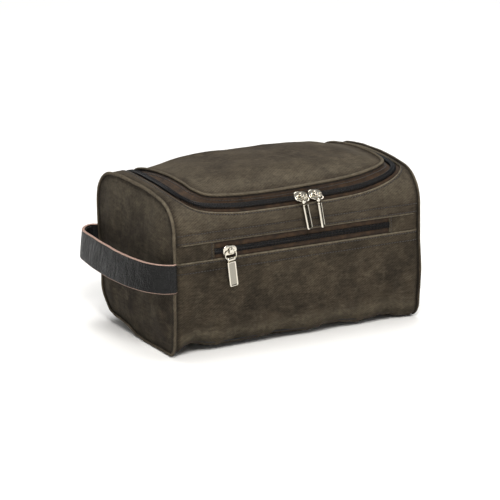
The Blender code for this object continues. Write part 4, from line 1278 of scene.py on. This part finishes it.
def pocket_zip():
    middle = POCKET_ZIP_Z - SPRING
    xs = spread(POCKET_LEFT - 2, POCKET_RIGHT + 2, 2.4)[:, None]
    x, across = np.broadcast_arrays(xs, 0.2 + POCKET_TAPE * np.linspace(0, 1, 8)[None, :])
    # Painted shade: the tapes darken away from the coil, under the canvas folds.
    wear_and_shade = -0.6 * smooth((across - 5.2) / 2.4)
    for side, name in ((1, "upper"), (-1, "lower")):
        points = on_wall(x, middle + side * across, TAPE_FACE)
        piece = sheet(f"pocket_tape_{name}", points, np.stack([x, across], -1), ZIP_TAPE, TAPE, wear_and_shade)
        place(piece, "body", "brown_zip_tape", f"pocket_zip_tape_{name}")
    line = spread(POCKET_LEFT + 0.4, POCKET_RIGHT - 0.4, COIL_STEP)
    for side, name, first in ((1, "upper", 0), (-1, "lower", 1)):
        x = line[first:]
        coil(f"pocket_coil_{name}", f"pocket_zip_coil_{name}", "body", side, x, np.full(len(x), middle))


# ------------------------------------------------------------------ linings


def linings():
    xs = spread(-SEAM_X + 1.4, SEAM_X - 1.4, 4.0)[:, None]

    def from_end(x):
        return smooth((SEAM_X - np.abs(x)) / 10)

    x, around = np.broadcast_arrays(xs, spread(3.0 - SPRING, low_fold(0) + 3, 4.0)[None, :])
    flat = np.stack([x, around], -1)
    sag = (0.6 * ripples(x, around, 101) - 1.4) * from_end(x)
    lining("front_lining_cloth", on_wall(x, around, -5.2 + sag), flat, "lining_front")
    lining("pocket_lining_cloth", on_wall(x, around, -3.2), flat, "pocket_back")
    share = np.linspace(0, 1, 10)
    inner = UPPER_INNER + (catmull(ZIP_POINTS, UPPER_T) - UPPER_INNER) * 0.35
    outer = UPPER_OUTER.copy()
    outer[:, 0] = np.clip(outer[:, 0], -SEAM_X + 1.4, SEAM_X - 1.4)
    outer[:, 1] -= 2 * (np.abs(UPPER_OUTER[:, 0]) < SEAM_X - 0.5)
    spots = inner[:, None] + (outer - inner)[:, None] * share[None, :, None]
    out = -3.2 - 2.6 * smooth(share)[None, :]
    lining("shoulder_lining_cloth", on_wall(spots[..., 0], spots[..., 1], out), spots)
    up = [spread(BACK_SEAM - 6, REAR_FOOT_START, 4.0), spread(REAR_FOOT_START, BASE_END - 6, 4.0)[1:]]
    x, around = np.broadcast_arrays(xs, np.concatenate(up)[None, :])
    out = -4.4 + 0.8 * ripples(x, around, 103) * from_end(x)
    out = np.minimum(out, back_height(x, around) - CANVAS - 0.8)
    lining("back_lining_cloth", on_wall(x, around, out), np.stack([x, around], -1), "lining_back")
    x, y = np.broadcast_arrays(xs, spread(4 - HALF_DEPTH, HALF_DEPTH - 10, 4.0)[None, :])
    floor = settle(np.stack([x, y, np.full(x.shape, 4.4)], -1))
    floor[..., 2] += 0.3 * ripples(x, y, 107)
    lining("base_lining_cloth", floor, np.stack([x, y], -1), "lining_base")
    grid, gap = end_grid(-3.4, 30)
    y, z = grid[..., 0], np.maximum(grid[..., 1], 4.0)
    bulge = 1.6 * smooth(gap / 30) + 0.5 * ripples(y, z, 109) * smooth(gap / 20)
    for side, sign in (("left", -1), ("right", 1)):
        points = settle(np.stack([sign * (SEAM_X - 1.9 + bulge), y, z], -1))
        lining(f"end_lining_cloth_{side}", points, np.stack([y, z], -1), f"lining_end_{side}")


# ------------------------------------------------------------------ stitches


def stitches():
    """Every visible row of sewing on the canvas, one mesh for the body and one for the lid."""
    body, lid = [], []
    xs = spread(-SEAM_X + 3, SEAM_X - 3, 2.0)
    for d in LOWER_ROWS:
        around = high_fold(xs) - d
        body.append(raised(xs, around, front_lower_height(xs, around) + 0.1))
    for d in UPPER_ROWS:
        around = low_fold(xs) + d
        gap = np.full(len(xs), 40.0)
        body.append(raised(xs, around, upper_height(xs, around, gap) + 0.1))
    width = np.linalg.norm(UPPER_OUTER - UPPER_INNER, axis=1)
    share = 2.0 * np.minimum(1.0, width / 11.0) / width
    row = UPPER_INNER + (UPPER_OUTER - UPPER_INNER) * share[:, None]
    row = row[4:-4]
    body.append(raised(row[:, 0], row[:, 1], upper_height(row[:, 0], row[:, 1], 2.0) + 0.1))
    around = np.full(len(xs), BACK_SEAM + 2.2)
    body.append(raised(xs, around, back_height(xs, around) + 0.1))
    for x, low, high in ((POCKET_LEFT - 2.2, 88.8, 103.6), (POCKET_RIGHT + 2.2, 87.4, 102.0)):
        around = spread(low, high, 1.0) - SPRING
        body.append(raised(np.full(len(around), x), around, -0.75))
    line, cord_line, cord_out, far = lid_chain()
    gap = far - TAPE_ROW
    spot = line + (cord_line - line) * (gap / far)[:, None]
    out = lid_tape_height(gap, far, cord_out) + 0.05
    lid.append(raised(spot[4:-4, 0], spot[4:-4, 1], out[4:-4]))
    item = thread_item()
    for name, body_name, rows in (("body_stitches", "body", body), ("lid_stitches", "lid", lid)):
        piece = repeated(name, rows, item, STITCH, THREAD)
        place(piece, body_name, "piping_canvas")
    bpy.data.objects.remove(item)


# ------------------------------------------------------------------ the side handle

# The strap's middle line seen from above, x and y, from its front seam to its rear one
HANDLE_PLAN = [
    (-126.6, -73.2), (-128.2, -77.0), (-131.8, -78.4), (-140.9, -73.2), (-148.8, -61.0), (-153.0, -45.3),
    (-155.5, -27.2), (-156.6, -8.3), (-155.6, 15.2), (-154.2, 38.1), (-152.4, 57.7), (-149.0, 68.5),
    (-143.5, 76.0), (-137.5, 79.6), (-131.6, 79.2), (-126.4, 74.0),
]
HANDLE_LOW = 62.8
HANDLE_HIGH = 89.7
HANDLE_THICK = 2.7


def side_handle():
    """The leather strap that bows out from the left end: two hides glued and stitched, with cut edges."""
    plan = catmull(HANDLE_PLAN, even_steps(HANDLE_PLAN, 2.0))
    run = distance_along(plan)
    normal = normals_from(plan)
    middle = (HANDLE_LOW + HANDLE_HIGH) / 2
    half = (HANDLE_HIGH - HANDLE_LOW) / 2
    r = HANDLE_THICK / 2
    profile, is_edge = [], []
    for sign in (1, -1):
        for z in sign * np.linspace(1.0 - half, half - 1.0, 15):
            profile.append((sign * r - 0.12 * (sign > 0 and abs(z) > half - 3.2), z))
            is_edge.append(False)
        for angle in sign * np.radians(np.linspace(90, -90, 7)):
            profile.append((0.96 * r * math.sin(angle), sign * (half - 0.75 + 0.75 * math.cos(angle))))
            is_edge.append(True)
    profile = np.array(profile)
    count = len(profile)
    # The strap leans out at its top in the middle of its length.
    tilt = 2.6 * np.sin(run / run[-1] * math.pi)
    rows = []
    for k in range(len(plan)):
        across = profile[:, 0] + 0.45 * ripples(run[k], profile[:, 1], 113, 20, 60) + tilt[k] * profile[:, 1] / half
        rows.append(np.column_stack([plan[k] - normal[k] * across[:, None], middle + profile[:, 1]]))
    rows = np.array(rows)
    faces = [tuple(f) for f in grid_faces(len(plan), count, False, True)]
    finish = [int(is_edge[k] and is_edge[(k + 1) % count]) for k in range(count)] * (len(plan) - 1)
    faces += [tuple(range(count)), tuple((len(plan) - 1) * count + k for k in reversed(range(count)))]
    finish += [1, 1]
    uv = np.stack(np.broadcast_arrays(run[:, None], distance_along(profile)[None, :]), -1)
    piece = mesh_object("side_handle", rows, faces, uv, [LEATHER, LEATHER_EDGE], None, finish, closed=True)
    place(piece, "body", "black_leather", "handle_outer", "handle_inner")
    lines = []
    for z in (-half + 2.6, half - 2.6):
        across = r + 0.45 * ripples(run, np.full(len(run), z), 113, 20, 60) + tilt * z / half
        points = np.column_stack([plan - normal * across[:, None], np.full(len(run), middle + z)])
        lines.append((points[6:-6], np.column_stack([-normal, np.zeros(len(run))])[6:-6]))
    item = thread_item()
    sewn = repeated("handle_stitches", lines, item, STRAP_STITCH, WAXED_THREAD)
    place(sewn, "body", "black_leather")
    bpy.data.objects.remove(item)


# ------------------------------------------------------------------ metal


# Where the sliders stand, and y and z of the wires that the pulls hang on
LID_SLIDER_AROUND = 22.32
LID_PULL_HUB = (-78.2, 130.24)
POCKET_SLIDER_X = -74.0
POCKET_PULL_HUB = (-81.07, 87.82)


def turned(pitch, yaw, lean):
    """Yaw turns a hanging piece about the vertical, pitch swings it outwards and lean tips it along x."""
    matrix = Matrix.Identity(3)
    for angle, axis in ((-lean, "Y"), (-pitch, "X"), (yaw, "Z")):
        matrix @= Matrix.Rotation(math.radians(angle), 3, axis)
    return np.array(matrix)


def casting(name, blocks, origin, turn):
    """One polished casting from rounded blocks. Each block is rings of points that close at both ends."""
    points, faces, first = [], [], 0
    for rings in blocks:
        rings = np.asarray(rings, float)
        rows, columns = rings.shape[:2]
        faces += [tuple(first + k for k in f) for f in grid_faces(rows, columns, False, True)]
        faces += [tuple(first + k for k in range(columns))]
        faces += [tuple(first + (rows - 1) * columns + k for k in reversed(range(columns)))]
        points.append(rings.reshape(-1, 3))
        first += rows * columns
    flat = np.concatenate(points) @ np.asarray(turn, float).T + np.asarray(origin, float)
    return mesh_object(name, flat, faces, flat[:, :2], [NICKEL], closed=True)


def rounded_outline(half_x, half_y, power=0.6, taper=0.0, count=40):
    """A soft-cornered outline, narrower towards +x by a share."""
    angle = np.arange(count) * 2 * math.pi / count
    cos, sin = np.cos(angle), np.sin(angle)
    x = half_x * np.sign(cos) * np.abs(cos) ** power
    y = half_y * np.sign(sin) * np.abs(sin) ** power * (1 - taper * x / half_x)
    return np.stack([x, y], -1)


def domed(outline, low, high, edge, dome, centre=(0.0, 0.0)):
    """Rings of a plate over an outline: a rounded edge and a domed top."""
    half = np.abs(outline).max(0)
    rings = []
    for inset, z in (
        (edge, low), (0, low + edge), (0, high - edge), (edge * 0.4, high - edge * 0.35), (edge * 1.2, high),
        (half.min() * 0.55, high + dome * 0.75), (half.min() * 0.85, high + dome),
    ):
        scale = 1 - inset / half
        rings.append(np.column_stack([outline * scale + centre, np.full(len(outline), z)]))
    return rings


def arch_block(span, low, top, width, thick):
    """A band bent over y into an arch, its feet on the plate."""
    angle = np.linspace(0, math.pi, 15)
    profile = rounded_outline(width / 2, thick / 2, 0.55, 0.0, 16)
    rings = []
    for a in angle:
        y = -math.copysign(abs(math.cos(a)) ** 0.7, math.cos(a)) * (span / 2)
        z = low + (top - low) * math.sin(a) ** 0.6
        way = np.array([0.0, -math.cos(a), math.sin(a)])
        rings.append([np.array([p[0], y, z]) + way * p[1] for p in profile])
    return rings


def slider_body(name, node, x, around, both_sides):
    """A slider: a shield-shaped top plate with rolled flanges, a post between the coils and an arched crown."""
    plate = rounded_outline(6.9, 4.6, 0.72, 0.16)
    blocks = [domed(plate, 3.2, 4.55, 0.45, 0.25)]
    blocks.append(arch_block(4.8, 4.2, 6.75, 3.6, 0.9))
    rail = rounded_outline(3.6, 0.42, 0.35)
    for side in (1, -1) if both_sides else (1,):
        blocks.append(domed(rail, 0.35, 4.0, 0.2, 0.0, (0.0, side * 4.0)))
    post = rounded_outline(1.5, 0.38, 0.5, 0.0, 20)
    blocks.append(domed(post, -1.5, 4.0, 0.15, 0.0, (-3.8, 0.0)))
    back_half = 1.9 if both_sides else 1.0
    back = rounded_outline(5.4, 1.8 * back_half, 0.5)
    blocks.append(domed(back, -1.75, -1.05, 0.2, 0.0, (0.0, 0.0 if both_sides else 1.7)))
    y, z = (float(v) for v in section(around, TAPE_FACE))
    y_up, z_up = (float(v) for v in section(around, TAPE_FACE + 1))
    out = np.array([0.0, y_up - y, z_up - z])
    turn = np.stack([(1.0, 0.0, 0.0), np.cross(out, (1.0, 0.0, 0.0)), out], -1)
    piece = casting(name, blocks, (x, y, z), turn)
    place(piece, node, "polished_nickel", node)


def bar_pull(name, node, hub, turn):
    """A bar pull: a rolled top round the link's wire, and a flat bar whose raised rim frames a sunk face."""
    half_width, length, thick, sides = 4.3, 26.4, 1.05, 48
    blade = []
    outline = rounded_outline(half_width, length / 2 - 1.4, 0.16, 0.0, sides)
    half = np.abs(outline).max(0)
    for inset, depth in (
        (0.45, thick), (0.0, thick - 0.4), (0.0, 0.4 - thick), (0.35, -thick), (0.95, -thick), (1.25, 0.28 - thick),
        (2.2, 0.33 - thick), (3.4, 0.36 - thick),
    ):
        spot = outline * (1 - inset / half)
        blade.append(np.column_stack([spot[:, 0], np.full(sides, depth), spot[:, 1] - length / 2 - 1.2]))
    roll = []
    circle = np.arange(20) * 2 * math.pi / 20
    for x, radius in ((-4.1, 1.1), (-3.9, 1.5), (-3.3, 1.75), (3.3, 1.75), (3.9, 1.5), (4.1, 1.1)):
        roll.append(np.column_stack([np.full(20, x), radius * np.cos(circle), radius * np.sin(circle) - 0.4]))
    piece = casting(name, [blade, roll], hub, turn)
    # The sunk faces take the plate whose colour is darkened as a painted dark reflection.
    piece.data.materials.append(SUNK_NICKEL_PAINTED_DARK)
    # The blade's last two bands of faces and its last end face are sunk inside the rim.
    bands = len(blade) - 1
    for k in (*range((bands - 2) * sides, bands * sides), bands * sides + 1):
        piece.data.polygons[k].material_index = 1
    place(piece, node, "polished_nickel", node)


def metal():
    """Sliders and pulls are detailed castings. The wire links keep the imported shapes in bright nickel."""
    for name, x, yaw, pitch, lean in (("left", 4.0, 32, 9, 8), ("right", 19.0, 47, 10, 5)):
        slider_body(f"lid_slider_casting_{name}", f"lid_slider_{name}", x, LID_SLIDER_AROUND, False)
        hub = (x, *LID_PULL_HUB)
        bar_pull(f"lid_pull_bar_{name}", f"lid_pull_{name}", hub, turned(pitch, yaw, lean))
    slider_body("pocket_slider_casting", "pocket_slider", POCKET_SLIDER_X, POCKET_ZIP_Z - SPRING, True)
    hub = (POCKET_SLIDER_X, *POCKET_PULL_HUB)
    bar_pull("pocket_pull_bar", "pocket_pull", hub, turned(0, 0, 7))
    for name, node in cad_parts.items():
        if "link" in name:
            node.data.materials.clear()
            node.data.materials.append(NICKEL)


# ------------------------------------------------------------------ camera, floor and light


def studio():
    scene = bpy.context.scene
    scene.view_settings.view_transform = "Standard"
    scene.view_settings.look = "None"
    # The camera stands 2.5 m off with a long lens. These sizes are in metres.
    azimuth, elevation = math.radians(-29.4), math.radians(16.1)
    level = Vector((math.sin(azimuth), -math.cos(azimuth), 0))
    back = level * math.cos(elevation) + Vector((0, 0, math.sin(elevation)))
    right = Vector((math.cos(azimuth), math.sin(azimuth), 0))
    up = back.cross(right)
    target = Vector((0, -0.002, 0.070)) - right * 0.0086 - up * 0.0043
    camera_data = bpy.data.cameras.new("camera")
    camera_data.lens = 192.6
    camera_data.sensor_width = 36
    camera_data.clip_end = 100
    camera = bpy.data.objects.new("camera", camera_data)
    scene.collection.objects.link(camera)
    turn = Matrix((right, up, back)).transposed().to_4x4()
    camera.matrix_world = Matrix.Translation(target + back * 2.5) @ turn
    scene.camera = camera

    ground = bpy.data.meshes.new("studio_floor")
    ground.from_pydata([(-9, -9, 0), (9, -9, 0), (9, 9, 0), (-9, 9, 0)], [], [(0, 1, 2, 3)])
    floor = bpy.data.objects.new("studio_floor", ground)
    scene.collection.objects.link(floor)
    paper, tree, shader = new_finish("matt_paper_sweep", Roughness=0.9)
    fibre = noise_of(tree, place_in_bag(tree), 0.4, 2.0)
    link(tree, shader, Base_Color=mix_colour(tree, fibre, linear("#f4f3f1"), linear("#f9f8f6")))
    # The sweep is lit evenly out to its far edge, past the reach of the softboxes.
    away = add(tree, "ShaderNodeVectorMath", {"operation": "LENGTH"}, _0=place_in_bag(tree)).outputs["Value"]
    link(tree, shader, Emission_Strength=span(tree, away, 0.8, 3.5, 0.0, 0.9))
    shader.inputs["Emission Color"].default_value = (1.0, 1.0, 1.0, 1.0)
    ground.materials.append(paper)

    world = bpy.data.worlds.new("studio")
    scene.world = world
    world.use_nodes = True
    sky = world.node_tree.nodes["Background"]
    sky.inputs["Color"].default_value = (1.0, 0.995, 0.985, 1.0)
    direction = add(world.node_tree, "ShaderNodeTexCoord").outputs["Generated"]
    height = add(world.node_tree, "ShaderNodeSeparateXYZ", _0=direction).outputs["Z"]
    world.node_tree.links.new(span(world.node_tree, height, 0.05, 0.25, 1.0, 0.31), sky.inputs["Strength"])

    for name, spot, size, watts, colour in (
        ("key", (-0.55, -1.3, 1.45), (0.7, 0.7), 34, (1.0, 0.985, 0.96)),
        ("fill", (1.5, -0.9, 0.9), (1.0, 1.0), 7, (0.95, 0.975, 1.0)),
        ("overhead", (0.1, 0.5, 1.8), (1.6, 1.2), 27, (1.0, 1.0, 1.0)),
    ):
        data = bpy.data.lights.new(name, "AREA")
        data.shape = "RECTANGLE"
        data.size, data.size_y = size
        data.energy = watts
        data.color = colour
        lamp = bpy.data.objects.new(name, data)
        scene.collection.objects.link(lamp)
        aim = Vector((0, 0, 0.07)) - Vector(spot)
        lamp.matrix_world = Matrix.Translation(spot) @ aim.to_track_quat("-Z", "Y").to_matrix().to_4x4()


# ------------------------------------------------------------------ build

studio()
front_lower_canvas()
front_upper_canvas()
pocket_tabs()
zip_end_tabs()
zip_end_gussets()
back_canvas()
base_canvas()
for end_name, end_sign in (("left", -1), ("right", 1)):
    end_canvas(end_name, end_sign)
    end_cord(end_name, end_sign)
lid_canvas()
lid_cord()
zip_tapes()
lid_coils()
pocket_zip()
linings()
stitches()
side_handle()
metal()

bpy.context.view_layer.update()
